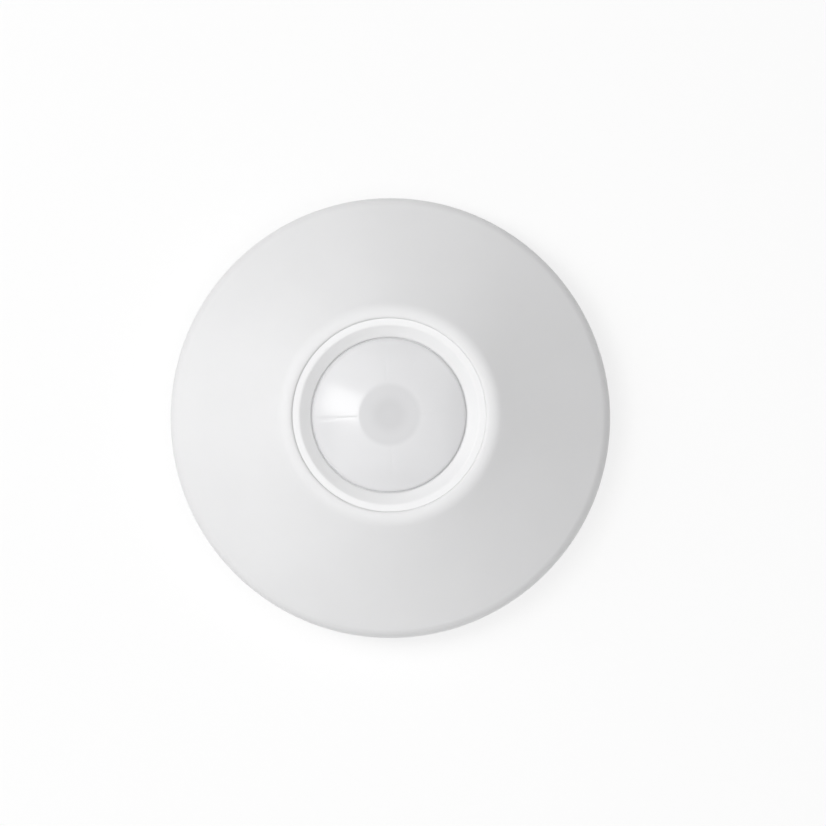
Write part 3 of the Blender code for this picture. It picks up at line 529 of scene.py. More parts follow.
def base_shell():
    """The base, with its low ribs, board bosses, screw slots, cable entry and the thin patch for side entry.

    Its back has two shallow grooves and a sink hole behind each boss.
    """
    radius, top, floor = base_high.x, base_high.z, 2.4
    wall_out, wall_in = 54.2, 52.6
    shell = Shape().turned([
        (0, floor),
        (wall_in - 0.8, floor),
        *arc((wall_in - 0.8, floor + 0.8), 0.8, -90, 0, 5),
        (wall_in, top - 0.2), (wall_in + 0.2, top),
        *shoulder(wall_out, top, 0.5, 5),
        (wall_out, floor),
        *shoulder(radius, floor, 0.5, 5),
        *heel(radius, 0, 0.4, 4),
        (0, 0),
    ], FINE)
    rib = [(30.2, floor + 0.7), (31.0, floor + 0.7), (31.2, floor - 1), (30.0, floor - 1)]
    shell.join(Shape().turned(rib, FINE))
    for angle in (25, 65, 115, 155, 205, 335):
        shell.join(Shape().box((21, 0.9, 1.7), (42, 0, floor - 0.15), 0.2).moved(turn=angle))
    boss_top = board_low.z - 0.3
    skirt = arc((4.4, floor + 1.15), 1.2, 180, 270, 4)
    boss = [(0, boss_top), (2.9, boss_top), (3.15, boss_top - 0.25), *skirt, (4.4, floor - 1), (0, floor - 1)]
    for place in map(middle, BOARD_SCREWS):
        shell.join(Shape().turned(boss, SMALL, at=place))
        shell.cut(Shape().rod(1.4, floor + 0.6, boss_top + 1, at=place), Shape().rod(2.2, -1, 0.8, at=place))
    for near, far in ((49.4, 50.6), (24.0, 25.2)):
        shell.cut(Shape().turned([(near, 0.5), (far, 0.5), (far, -1), (near, -1)], FINE))
    for side in SIDES:
        centre = (side * 43, 0)
        shell.join(Shape().plate([obround(14.2, 10.2, centre)], floor - 1, floor + 0.8))
        shell.cut(Shape().plate([obround(9, 5, centre)], -1, 5))
    entry = (0, -40)
    shell.join(Shape().plate([obround(26.4, 14.4, entry)], floor - 1, floor + 0.6))
    shell.cut(Shape().plate([obround(24, 12, entry)], -1, 5))
    shell.join(*catches(wall_out - 1, wall_out + 0.35, 5.3, 6.5))
    for angle in (262, 278):
        score = sector(wall_in - 0.4, wall_in + 0.5, angle - 0.5, angle + 0.5)
        shell.cut(Shape().plate([score], floor + 1, top + 1))
    piece("base_shell", shell.carved(), [PLASTIC], ["base_plate"])


def bezel_ring():
    wall, inside = SEAT_RADIUS - FIT, 23.6
    toe_top = LEDGE_LOW - 0.3
    ring = Shape().turned([
        *arc((21.1, LENS_FLANGE_TOP + 0.05), 0.8, 162, 118, 5),
        *arc((23.8, bezel_high.z - 1.5), 1.5, 118, 90, 8),
        *shoulder(wall, bezel_high.z, 0.04, 3),
        (wall, LEDGE_TOP + 0.7), (wall - 0.3, LEDGE_TOP + 0.4), (inside, LEDGE_TOP + 0.4),
        (inside, LENS_FLANGE_TOP + 0.3),
    ], FINE)
    for angle in HOOKS:
        stem = Shape().plate([sector(23.8, 24.7, angle, angle + 8)], toe_top - 1.4, LEDGE_TOP + 1.4)
        ring.join(stem, Shape().plate([sector(23.8, 24.7, angle - 8, angle + 2)], toe_top - 1.4, toe_top))
    piece("bezel_ring", ring.carved(), [RING_PLASTIC], ["lens_bezel"], "bezel")


LENS_EDGE = 20.05
LENS_WALL = 0.9
LENS_CURVE = 60.0
DISC, DISC_CURVE = 7.9, 260.0  # the middle segment is flatter than the rest
LENS_BASE = LENS_FLANGE_TOP + 0.6
SEGMENT_EDGE = 3.75  # degrees round from +X to the first of the lens's four segment edges
RING_PITCH, RING_DEPTH = 0.6, 0.16


def sphere_height(radius, curve, edge, edge_height):
    """Height at a distance from the axis of a dome that meets this height at its edge."""
    return edge_height + sqrt(curve**2 - radius**2) - sqrt(curve**2 - edge**2)


def lens_top(radius):
    return sphere_height(radius, LENS_CURVE, LENS_EDGE, LENS_BASE)


def lens_dome():
    """The domed film. Its inner face has the fine rings of a Fresnel lens, and grooves part its segments."""
    flange_low, rim, inner_edge = gasket_high.z + 0.3, lens_high.y, LENS_EDGE - LENS_WALL
    disc = [0.5 * step for step in range(16)]
    outer = [(radius, sphere_height(radius, DISC_CURVE, DISC, lens_top(DISC))) for radius in disc]
    outer += [(DISC + 0.5 * step, lens_top(DISC + 0.5 * step)) for step in range(24)]
    inner = []
    for step in range(int(inner_edge / RING_PITCH), -1, -1):
        radius = step * RING_PITCH
        height = sphere_height(radius, LENS_CURVE - LENS_WALL, inner_edge, LENS_BASE - LENS_WALL / 2)
        inner += [(radius, height), (radius - 0.06, height + RING_DEPTH)] if step else [(0, height)]
    dome = Shape().turned([
        *outer,
        *arc((LENS_EDGE - 0.6, LENS_BASE - 0.45), 0.6, 70, 0, 6),
        (LENS_EDGE, LENS_FLANGE_TOP), (rim - 0.15, LENS_FLANGE_TOP), (rim, LENS_FLANGE_TOP - 0.15),
        (rim, flange_low + 0.15), (rim - 0.15, flange_low), (inner_edge, flange_low),
        *inner,
    ], 192)
    for vertex in dome.mesh.verts:
        x, y, z = vertex.co
        radius, angle = hypot(x, y), degrees(atan2(y, x))
        on_top = DISC + 0.1 < radius < LENS_EDGE - 0.1 and z > lens_top(radius) - 0.3
        if on_top and (angle - SEGMENT_EDGE + 0.1) % 90 < 0.5:
            vertex.co.z -= 0.05
    dome.cut(*(Shape().box((1.9, 2.5, 3.0), (side * KEY_X, 0, LEDGE_TOP + 0.95)) for side in SIDES))
    piece("lens_dome", dome.carved(), [FILM_WITH_PAINTED_SHADE], ["fresnel_lens"], "cover", sharp=12)


def foam_ring():
    low, high, inner, outer, soft = gasket_low.z, gasket_high.z, 19.8, 21.8, 0.15
    ring = Shape().turned([
        *arc((inner + soft, high - soft), soft, 180, 90, 3),
        *shoulder(outer, high, soft, 3),
        *heel(outer, low, soft, 3),
        *arc((inner + soft, low + soft), soft, 270, 180, 3),
    ], FINE)
    piece("foam_ring", ring, [FOAM], ["lens_gasket"], "cover")


# --- circuit board ---

PITCH = 2.54
LEAD_LOW = board_low.z - 1.4
CAPACITORS = ("supply_capacitor", "filter_capacitor")
led_at, relay_at = middle("status_led"), middle("alarm_relay")
trimpot_at, jumper_at = middle("range_trimpot_body"), middle("jumper_header")
tamper_at, varistor_at = middle("tamper_switch_body"), middle("surge_varistor")
crystal_at = middle("clock_crystal")
terminals_at = [middle(f"terminal_screw_{number}") for number in range(1, 7)]
SHROUD_PEGS = ((9.6, 9.6), (-9.6, -9.6))


def corners(x, y):
    return [(side * x, end * y) for side in SIDES for end in SIDES]


def pair(x, y):
    return [(side * x, side * y) for side in SIDES]


LEADS = {  # each part's place, and where its leads are from there
    "pir_header": ((0, 0), circle(2.5, 3)),
    "status_led": (led_at, pair(0, PITCH / 2)),
    "range_trimpot_body": (trimpot_at, [(-PITCH, -PITCH), (PITCH, -PITCH), (0, PITCH)]),
    "jumper_header": (jumper_at, corners(PITCH, PITCH / 2)),
    "tamper_switch_body": (tamper_at, corners(2.2, 2.2)),
    "alarm_relay": (relay_at, corners(3.81, 5.08)),
    "surge_varistor": (varistor_at, pair(0, PITCH)),
    "clock_crystal": (crystal_at, pair(2.44, 0)),
    **{name: (middle(name), pair(radius_of(name) / 2, 0)) for name in CAPACITORS},
    "terminal_housing": ((0, 2.1), terminals_at),
}


def leads_of(name):
    return shifted(*LEADS[name])


def every_lead():
    return [lead for name in LEADS for lead in leads_of(name)]


def board_sheet():
    radius, half, front, corner = 44, 36, -27, 3
    side = degrees(acos(half / radius))
    outline = [
        *arc((0, 0), radius, side, 180 - side, 60),
        *arc((-half + corner, front + corner), corner, 180, 270, 8),
        *arc((half - corner, front + corner), corner, 270, 360, 8),
    ]
    holes = [circle(0.5, 16, at) for at in every_lead()]
    holes += [circle(0.95, 20, at) for at in SHROUD_PEGS]
    holes += [circle(1.6, 32, middle(screw)) for screw in BOARD_SCREWS]
    sheet = Shape().plate([outline, *holes], board_low.z, board_high.z)
    piece("board_sheet", sheet, [MASK], ["main_board"])


def strip(shape, points, width, low, high):
    """A flat line through the points. Each length lies a hair higher than the one that it overlaps."""
    for number, ((x0, y0), (x1, y1)) in enumerate(zip(points, points[1:])):
        length = hypot(x1 - x0, y1 - y0)
        top = high + 0.004 * (number + 1) / len(points)
        centre = ((x0 + x1) / 2, (y0 + y1) / 2, (low + top) / 2)
        angle = degrees(atan2(y1 - y0, x1 - x0))
        shape.box((length + width * 0.8, width, top - low), at=centre, turn=angle)


def around(place, angle, points):
    """Points given from a part's centre, as it lies turned on the board."""
    spin = Matrix.Rotation(radians(angle), 2)
    return shifted(place, [spin @ Vector(point) for point in points])


MICRO_AT = (14, 25)
AMPLIFIER_AT, AMPLIFIER_TURN = (-21, 17.5), 50
REGULATOR_AT = (-20.5, 4)
SUPPLY_LINE, SIGNAL_LINE = 0.9, 0.35


def trace_routes():
    """Where the copper lines run between the parts, as (points, width)."""
    starts, relay_leads = leads_of("terminal_housing"), leads_of("alarm_relay")
    link_pins, range_leads = leads_of("jumper_header"), leads_of("range_trimpot_body")
    varistor_low, varistor_high = leads_of("surge_varistor")
    lamp_low, lamp_high = leads_of("status_led")
    clock = leads_of("clock_crystal")[0]
    for route in (
        [starts[0], (-12.7, -17.3), varistor_low],
        [starts[1], (-7.6, -16.2), (-17.0, -6.8), varistor_high, (-28.4, -4.5)],
        [starts[2], (-2.5, -16.0), (-14.6, -3.9), (-17.0, 1.7)],
        [starts[3], (2.5, -16.2), (15.2, -3.6), relay_leads[0]],
        [starts[4], (7.6, -17.3), (12, -12.9), (29.5, -12.9), (31.3, -11.1), relay_leads[2]],
        [starts[5], (31.5, -20.9), (33.9, -18.5), (33.9, 15.0), leads_of("tamper_switch_body")[3]],
        [(-28.0, 6.0), (-25.0, 4.0), (-23.6, 4.0)],
        [(-32.0, 6.0), (-34.0, 4.0), (-34.0, -18.0), (-30.0, -22.0), (-18.6, -22.0)],
        [relay_leads[1], (20.5, 11.3), (17.8, 14.0), (17.8, 18.0), (16.4, 20.2)],
    ):
        yield route, SUPPLY_LINE
    for route in (
        [(2.5, 0), (6.5, 4.0), (6.5, 12.0), (11.6, 17.1), (11.6, 20.4)],
        [(-1.25, 2.2), (-1.25, 14.5), (-6.0, 19.2), (-13.4, 19.2)],
        [lamp_high, (led_at.x, 12.4), (13.2, 16.4), (13.2, 20.4)],
        [lamp_low, (led_at.x, -6.8)],
        [(18.6, 22.6), (22.2, 22.6), (24.4, 22.2)],
        [(18.6, 24.2), (21.4, 24.2), (21.4, 19.6), (24.4, 17.8)],
        [(9.4, 27.4), (6.2, 27.4), link_pins[2]],
        [(9.4, 25.8), (4.6, 25.8), (-0.6, 28.6), link_pins[0]],
        [(9.4, 24.2), (-2.0, 24.2), (-6.0, 24.4), range_leads[1]],
        [(9.4, 22.6), (2.0, 22.6), (-2.6, 21.2), (-14.2, 21.2)],
        [(14.8, 20.4), (14.8, 12.0), (clock[0], 7.2), (clock[0], 0.8)],
        [clock, (clock[0], -5.0)],
        [link_pins[1], (-4.6, 34.6), (-9.6, 36.0), (-17.2, 33.0)],
        [link_pins[3], (4.8, 34.6), (11, 35.6), (16.6, 33.4), (18.6, 29)],
        [range_leads[2], (-13.4, 32.0), (-19.0, 29.0), (-24.6, 25.6)],
    ):
        yield route, SIGNAL_LINE
    for side in SIDES:
        for number in range(6):
            along = (number - 2.5) * 1.27
            reach = 5.6 + 0.8 * (number % 2)
            points = [(side * 3.1, along), (side * 4.6, along), (side * reach, along * 1.35)]
            yield around(AMPLIFIER_AT, AMPLIFIER_TURN, points), SIGNAL_LINE
    for number in range(4):
        along = (number - 1.5) * 1.6
        yield shifted(MICRO_AT, [(along, 4.6), (along, 5.8), (along * 1.4, 7.0 + number % 2)]), SIGNAL_LINE
        if number > 1:
            yield shifted(MICRO_AT, [(4.6, along), (6.0, along), (7.2, along * 1.4)]), SIGNAL_LINE


# Where the small parts lie, as (x, y, turn).
CHIP_RESISTORS = (
    (-13.0, 15.6, 50), (-17.9, 25.9, 50), (-29.4, 15.4, 90), (9.0, 36.6, 0), (24.6, 27.2, 90),
    (20.2, 16.2, 90), (18.6, 3.2, 90), (17.2, -16.6, 0), (-20.6, -17.6, 0), (-17.2, 31.6, 30),
)
CHIP_CAPACITORS = (
    (-15.6, 13.4, 50), (-27.4, 22.4, 50), (-26.0, 12.4, 90), (21.6, 29.8, 90), (6.4, 19.8, 0),
    (17.4, 8.4, 90), (22.4, -16.6, 0), (-17.2, -11.4, 45), (-29.6, -11.4, 0), (-5.4, 17.2, 0),
)
PRINT_LOW, PRINT_TOP = BOARD_TOP - 0.02, BOARD_TOP + 0.05


def board_copper():
    """Copper under the mask, the tinned pads and the vias at the ends of the lines."""
    copper, tinned = Shape(), Shape()

    def pad(at, outer, sides, inner, inner_sides):
        tinned.plate([circle(outer, sides, at), circle(inner, inner_sides, at)], PRINT_LOW, PRINT_TOP)

    leads = every_lead()
    used = [*leads, *(place[:2] for place in (*CHIP_RESISTORS, *CHIP_CAPACITORS))]
    for route, width in trace_routes():
        strip(copper, route, width, PRINT_LOW, BOARD_TOP + 0.035)
        end = route[-1]
        if all(dist(end, other) > 1.4 for other in used):
            pad(end, 0.55, 20, 0.22, 12)
            used.append(end)
    face, tip = board_low.z, LEAD_LOW + 0.45
    fillet = [(0.95, face), (0.95, face - 0.06), (0.6, face - 0.25), (0.42, face - 0.6), (0.34, tip)]
    for at in leads:
        pad(at, 1.05, 24, 0.5, 16)
        tinned.turned([(0, face), *fillet, (0, tip)], 20, at=at)
    for screw in BOARD_SCREWS:
        pad(middle(screw), 3.3, 48, 1.6, 32)
    piece("board_traces", copper, [TRACE])
    piece("solder_pads", tinned, [SOLDER])


def legend():
    """Printed outlines round the parts. They carry no words."""
    ink = Shape()

    def line(points, width=0.18):
        strip(ink, points, width, PRINT_LOW, PRINT_TOP)

    def loop(points):
        line([*points, points[0]])

    def frame_round(place, size, turn=0):
        x, y = size[0] / 2, size[1] / 2
        loop(around(place, turn, [(-x, -y), (x, -y), (x, y), (-x, y)]))

    for place, size in (
        (relay_at, (11, 15.6)), (trimpot_at, (7.6, 7.6)), (jumper_at, (8.6, 6.2)), (tamper_at, (7.4, 7.4)),
        (crystal_at, (12.2, 5.7)), (varistor_at, (4.4, 8.4)),
        ((terminals_at[0] + terminals_at[5]) / 2, (32.4, 9.2)),
    ):
        frame_round(place, size)
    for name in CAPACITORS:
        place, radius = middle(name), radius_of(name) + 0.6
        loop(circle(radius, 40, place))
        line(shifted(place, [(radius + 0.5, 0), (radius + 1.7, 0)]), 0.25)
    loop(circle(17.0, 90))
    for x, y, turn in (*CHIP_RESISTORS, *CHIP_CAPACITORS):
        frame_round((x, y), (3.1, 2.0), turn)
    loop(shifted(MICRO_AT, [(-5.4, -5.4), (-5.4, -4.4), (-4.4, -5.4)]))
    for place in terminals_at:
        line([(place.x, -17.9), (place.x, -17.2)])
    piece("board_legend", ink, [INK])


def small_parts(name, places, height, finish):
    """Chip resistors or capacitors, with their tinned ends."""
    shape = Shape()
    for x, y, turn in places:
        how = {"at": (x, y, SEAT), "turn": turn}
        shape.box((1.3, 1.2, height), (0, 0, height / 2), 0.05, **how)
        for side in SIDES:
            shape.box((0.42, 1.25, height + 0.04), (side * 0.82, 0, height / 2), 0.08, finish=1, **how)
            shape.upright([(side, 0), (side * 1.35, 0), (side, height * 0.7)], 1.1, finish=1, **how)
    piece(name, shape, [finish, SOLDER])


def threads(height, low, pitch, thread):
    """A screw's threads from a height down. thread is the points of one, as (radius, share of the pitch)."""
    points = []
    while height - pitch > low:
        points += [(radius, height - pitch * share) for radius, share in thread]
        height -= pitch
    return points


def crossed(first, second, height, soft, at=(0, 0)):
    """Two boxes laid across each other at a height, for cutting a cross."""
    return [Shape().box(size, (0, 0, height), soft, at=at) for size in (first, second)]


def board_screws():
    """Their heads are domed and have a cross recess."""
    shank, sink, head_low = 1.1, 1.9, SEAT + 0.1
    core = shank * 0.82
    for number, name in enumerate(BOARD_SCREWS, 1):
        tip, top, radius = box_mm(name)[0].z, box_mm(name)[1].z, radius_of(name)
        spread = degrees(atan2(radius, sink))
        dome = arc((0, head_low - 1.6), hypot(radius, sink), 90, 90 - spread, 10)
        scale = (top - head_low) / (dome[0][1] - head_low)
        screw = Shape().turned([
            (0, top),
            *[(r, head_low + (z - head_low) * scale) for r, z in dome[1:]],
            (radius, head_low), (shank, head_low),
            *threads(head_low - 0.5, tip + 0.8, 0.9, ((shank, 0), (core, 0.35), (core, 0.55))),
            (shank * 0.8, tip + 0.8), (0.2, tip), (0, tip),
        ], SMALL)
        screw.cut(*crossed((3.2, 0.75, 2), (0.75, 3.2, 2), top, 0.1))
        piece(f"pan_screw_{number}", screw.carved().moved(middle(name)), [ZINC], [name])


# --- sensing element ---


def sensing_parts():
    can_low, can_high = box_mm("pir_can")
    low, high, radius, wall = can_low.z, can_high.z, can_high.x, 0.5
    can = Shape().turned([
        (0, high),
        *shoulder(radius, high, 0.6, 8),
        (radius, low + 0.35),
        *arc((radius + 0.2, low + 0.35), 0.2, 180, 270, 4),
        (radius + 0.2, low), (radius - wall, low), (radius - wall, high - wall), (0, high - wall),
    ])
    can.cut(Shape().box((4.0, 3.2, 2), (0, 0, high), 0.2))
    piece("sensing_can", can.carved(), [NICKEL], ["pir_can"])
    top = box_mm("pir_header")[1].z
    flange = Shape().rod(4.6, top - 0.9, top, 0.15, MEDIUM)
    flange.box((1.0, 0.9, 0.8), (0, 4.7, top - 0.45), 0.1, turn=45)
    flange.pins("pir_header", top - 0.5, 0.5, finish=0)
    piece("sensing_header", flange, [NICKEL], ["pir_header"])
    low, high = box_mm("pir_spacer")
    holes = [circle(0.7, 20, at) for at in leads_of("pir_header")]
    spacer = Shape().plate([circle(4.8, 64), *holes], low.z, high.z)
    piece("sensing_spacer", spacer, [NYLON], ["pir_spacer"])
    piece("filter_window", node_box("pir_window", 0.08), [SILICON], ["pir_window"])
    top = box_mm("pir_element")[1].z
    chip = node_box("pir_element", 0.1)
    for side in SIDES:
        chip.box((1.0, 2.0, 0.06), (side, 0, top), finish=1)
    piece("sensing_chip", chip, [CERAMIC, GOLD], ["pir_element"])


def shroud():
    top = box_mm("optics_shroud")[1].z
    collar = Shape().turned([
        (15.6, top - 0.1),
        *arc((16.1, top - 0.35), 0.35, 110, 20, 5),
        (14.2, SEAT + 1.4), (14.2, SEAT + 0.1), (14.1, SEAT),
        (13.1, SEAT), (13.0, SEAT + 0.1), (13.0, SEAT + 1.2),
    ], FINE)
    fin = [(13.6, SEAT + 0.3), (15.9, SEAT + 0.3), (15.9, SEAT + 1.1), (14.4, SEAT + 4.2)]
    for number in range(8):
        collar.join(Shape().upright(fin, 0.8).moved(turn=22.5 + number * 45))
    for peg in SHROUD_PEGS:
        collar.join(Shape().rod(0.6, LEAD_LOW + 0.4, SEAT + 0.8, 0.1, at=peg))
    piece("sight_collar", collar.carved(), [NYLON], ["optics_shroud"])


def led():
    top, radius, base, flange = box_mm("status_led")[1].z, 1.5, SEAT + 0.4, 1.9
    dome = arc((0, top - radius), radius, 84, 0, 10)
    profile = [(0, top), *dome, (radius, base + 1.0), (flange, base + 1.0), (flange, base), (0, base)]
    lamp = Shape().turned(profile, SMALL, at=led_at).pins("status_led", base + 0.5, 0.5)
    piece("led_lamp", lamp, [RED, SOLDER], ["status_led"])


# --- controls ---


def trimpot():
    name = "range_trimpot_body"
    top = box_mm(name)[1].z
    body = node_box(name, 0.25, SEAT + 0.3)
    for at in shifted(trimpot_at, corners(2.6, 2.6)):
        body.rod(0.5, SEAT, SEAT + 0.6, at=at)
    groove = [(2.5, top + 1), (2.75, top + 1), (2.75, top - 0.15), (2.5, top - 0.15)]
    body.cut(Shape().rod(2.1, SEAT + 1, top + 1, at=trimpot_at, steps=64))
    body.cut(Shape().turned(groove, 64, at=trimpot_at))
    piece("range_body", body.carved().pins(name, SEAT + 0.6, 0.5), [BLUE, SOLDER], [name])
    name = "range_trimpot_rotor"
    low, high = box_mm(name)
    rotor = Shape().rod(1.8, low.z, high.z, 0.15, 64, at=trimpot_at)
    rotor.cut(*crossed((2.7, 0.6, 1.6), (0.6, 1.5, 1.6), high.z, 0.08, trimpot_at))
    arrow = [(-0.55, 0.9), (0.55, 0.9), (0, 1.55)]
    rotor.cut(Shape().plate([arrow], high.z - 0.2, high.z + 1, at=trimpot_at))
    piece("range_dial", rotor.carved(), [NYLON], [name], "range_rotor")


def jumpers():
    block_top = SEAT + 2.75
    header = Shape()
    for at in shifted(jumper_at, corners(PITCH, PITCH / 2)):
        header.box((2.5, 2.5, 2.5), (0, 0, block_top - 1.25), 0.3, at=at)
    header.box((3.2, 4.2, 2.2), (*jumper_at, block_top - 1.35), 0.2)
    header.pins("jumper_header", box_mm("jumper_header")[1].z, 0.62)
    piece("link_header", header, [BLACK, GOLD], ["jumper_header"])
    for kind in ("led", "pulse"):
        name = kind + "_jumper"
        low, high = box_mm(name)
        size, place = high - low, middle(name)
        cap = node_box(name, 0.2)
        for end in SIDES:
            y = place.y + end * PITCH / 2
            cap.cut(Shape().box((1.3, 1.3, 2 * (size.z - 0.4)), (place.x, y, low.z)))
            for face in SIDES:
                cap.cut(Shape().box((0.6, 1.1, 2.2), (place.x + face * size.x / 2, y, low.z + 2.4)))
        cap.cut(Shape().box((3, 0.5, 1.0), (*place, high.z)))
        piece(kind + "_link_cap", cap.carved(), [BLUE], [name], kind + "_link")


def tamper():
    name = "tamper_switch_body"
    top = box_mm(name)[1].z
    well = Shape().rod(1.8, SEAT + 1, top + 1, at=tamper_at, steps=48)
    body = node_box(name, 0.3, SEAT).cut(well).carved()
    for at in shifted(tamper_at, corners(2.2, 2.2)):
        body.rod(0.4, top - 0.1, top + 0.12, 0.05, 16, finish=1, at=at)
    body.pins(name, SEAT + 0.6, 0.55)
    piece("tamper_body", body, [BLACK, SOLDER], [name])
    low, high = box_mm("tamper_plunger")
    head, head_low, stem = high.x - tamper_at.x, high.z - 0.8, 1.5
    plunger = Shape().turned([
        (0, high.z),
        *shoulder(head, high.z, 0.3, 5),
        (head, head_low + 0.1), (head - 0.1, head_low), (stem, head_low),
        (stem, low.z + 0.2), (stem - 0.2, low.z), (0, low.z),
    ], 64, at=tamper_at)
    piece("tamper_pin", plunger, [NYLON], ["tamper_plunger"], "plunger")
    coil(top, head_low)


def coil(low, high):
    """The tamper spring. Its lower end stays on the switch and its upper end rises with the plunger."""
    wire, radius, turns, count = 0.2, 2.15, 4, 240
    start, end = low + wire, high - wire
    points = []
    for number, at in enumerate(arc(tamper_at, radius, 0, 360 * turns, count)):
        ease = min(1, max(0, (number / count * turns - 0.5) / (turns - 1)))  # the end turns lie flat
        points.append((*at, start + (end - start) * ease))
    spring = in_metres("tamper_coil", Shape().tube(points, wire, 10), [ZINC])
    spring.data.shade_smooth()
    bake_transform(spring)
    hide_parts("tamper_spring")


# --- board parts ---


def relay():
    name = "alarm_relay"
    low, high = box_mm(name)
    x, y = (high - low).xy
    case = node_box(name, 0.5, SEAT + 0.3)
    case.join(Shape().box((x - 0.5, y - 0.5, 0.6), (*relay_at, SEAT + 0.3), 0.1))
    case.cut(Shape().box((x - 2.4, y - 2.4, 0.4), (*relay_at, high.z), 0.1))
    case.cut(Shape().rod(0.5, high.z - 1, high.z + 1, at=relay_at + Vector((2.8, -5.1))))
    piece("relay_case", case.carved().pins(name, SEAT + 0.8, 0.6), [BLACK, SOLDER], [name])


def capacitor(name):
    """An electrolytic can in its sleeve, with a scored top and a stripe at its negative lead."""
    place, radius, top, groove = middle(name), radius_of(name), box_mm(name)[1].z, SEAT + 2.0
    shape = Shape().turned([
        (radius - 0.95, top - 0.25),
        *arc((radius - 0.5, top - 0.5), 0.5, 115, 0, 8),
        (radius, groove + 0.55),
        *arc((radius + 0.15, groove), 0.55, 110, 250, 8),
        (radius, groove - 0.55),
        *heel(radius, SEAT + 0.1, 0.3, 4),
        (radius - 0.95, SEAT + 0.1),
    ], at=place)
    can = [(0, top - 0.3), (radius - 1.0, top - 0.3), (radius - 0.9, SEAT + 0.3), (0, SEAT + 0.3)]
    scores = crossed((4.4, 0.25, 0.3), (0.25, 4.4, 0.3), top - 0.3, 0.05, place)
    shape.take(Shape().turned(can, at=place).cut(*scores).carved().mesh, 1)
    shape.plate([sector(radius - 0.05, radius + 0.03, -24, 24)], groove + 1.0, top - 0.8, finish=2, at=place)
    shape.pins(name, SEAT + 0.5, 0.5, finish=3)
    piece(name + "_can", shape, [SLEEVE, CAN, INK, SOLDER], [name])


def varistor():
    radius, half, soft = 3.6, 1.6, 1.1
    height = SEAT + 1.1 + radius
    rim = shoulder(radius, half, soft, 6)
    profile = [(0, half), *rim, *[(r, -z) for r, z in reversed(rim)], (0, -half)]
    disc = Shape().turned(profile, 64, at=(*varistor_at, height), tilt=Matrix.Rotation(pi / 2, 4, "Y"))
    for foot in leads_of("surge_varistor"):
        disc.rod(0.65, height - 3.4, height - 1.2, 0.3, 24, at=foot)
        disc.tube([(*foot, z) for z in (LEAD_LOW, SEAT + 0.4, height - 2.5)], 0.3, 12, finish=1)
    piece("surge_disc", disc, [ORANGE, SOLDER], ["surge_varistor"])


def crystal():
    name = "clock_crystal"
    top = box_mm(name)[1].z
    can = Shape().plate([obround(11.2, 4.7, crystal_at)], SEAT + 0.1, SEAT + 0.55)
    layers = ((0, SEAT + 0.3, top - 0.5), (0.15, top - 0.52, top - 0.22), (0.45, top - 0.3, top))
    for inset, lower, upper in layers:
        can.plate([obround(10.2 - 2 * inset, 3.8 - 2 * inset, crystal_at)], lower, upper)
    can.pins(name, SEAT + 0.3, 0.5)
    piece("crystal_can", can, [NICKEL, SOLDER], [name])


def gull_wing(width, rise, at, turn):
    """One bent chip lead."""
    thick, bend, foot, inside = 0.2, 0.4, 1.1, -0.3
    outline = [
        (inside, rise),
        *arc((bend - 0.15, rise - 0.2), 0.2, 90, 20, 4),
        *arc((bend + thick + 0.2, thick + 0.15), 0.15, 200, 270, 4),
        (foot, thick), (foot, 0),
        *arc((bend + 0.2, 0.25), 0.25, 270, 200, 4),
        *arc((bend - 0.35, rise - thick - 0.15), 0.15, 20, 90, 4),
        (inside, rise - thick),
    ]
    return Shape().upright(outline, width, at=at, turn=turn)


def chip(node_name, name, body, pitch, sides, place, turn=0, tab=None):
    """A surface-mount chip. sides maps the angle that a side faces to its number of leads."""
    width, depth, height = body
    lift, draft = 0.2, 0.25
    waist, top = lift + height / 2, lift + height
    shape = Shape()
    for low, high in ((lift, waist), (waist, top)):
        part = bmesh.new()
        matrix = Matrix.Translation((0, 0, (low + high) / 2)) @ Matrix.Diagonal((width, depth, high - low, 1))
        bmesh.ops.create_cube(part, size=1, matrix=matrix)
        drafted = [v for v in part.verts if abs(v.co.z - waist) > 0.01]
        bmesh.ops.scale(part, vec=(1 - draft / width, 1 - draft / depth, 1), verts=drafted)
        bmesh.ops.bevel(part, geom=part.edges[:], offset=0.04, segments=2, affect="EDGES")
        shape.add(part)
    shape.cut(Shape().rod(0.45, top - 0.08, top + 1, at=(-width / 2 + 1.1, -depth / 2 + 1.1)))
    shape = shape.carved()
    for angle, count in sides.items():
        out = Vector((cos(radians(angle)), sin(radians(angle))))
        along = Vector((-out.y, out.x))
        reach = (depth if angle % 180 else width) / 2
        wide = tab if tab and count == 1 else 0.35 * pitch
        for number in range(count):
            foot = out * reach + along * (number - (count - 1) / 2) * pitch
            shape.take(gull_wing(wide, lift + 0.55 * height, foot, angle).mesh, 1)
    shape.moved((*place, SEAT), turn)
    piece(name, shape, [BLACK, SOLDER], [node_name])


def chips():
    sides = {0: 4, 90: 4, 180: 4, 270: 4}
    chip("microcontroller", "controller_chip", (7, 7, 1.4), 1.6, sides, MICRO_AT)
    sides = {0: 6, 180: 6}
    chip("signal_amplifier", "amplifier_chip", (4, 8.7, 1.5), 1.27, sides, AMPLIFIER_AT, AMPLIFIER_TURN)
    sides = {90: 1, 270: 3}
    chip("voltage_regulator", "regulator_chip", (6.5, 3.5, 1.7), 2.3, sides, REGULATOR_AT, 90, tab=3.0)


# --- screw terminals ---


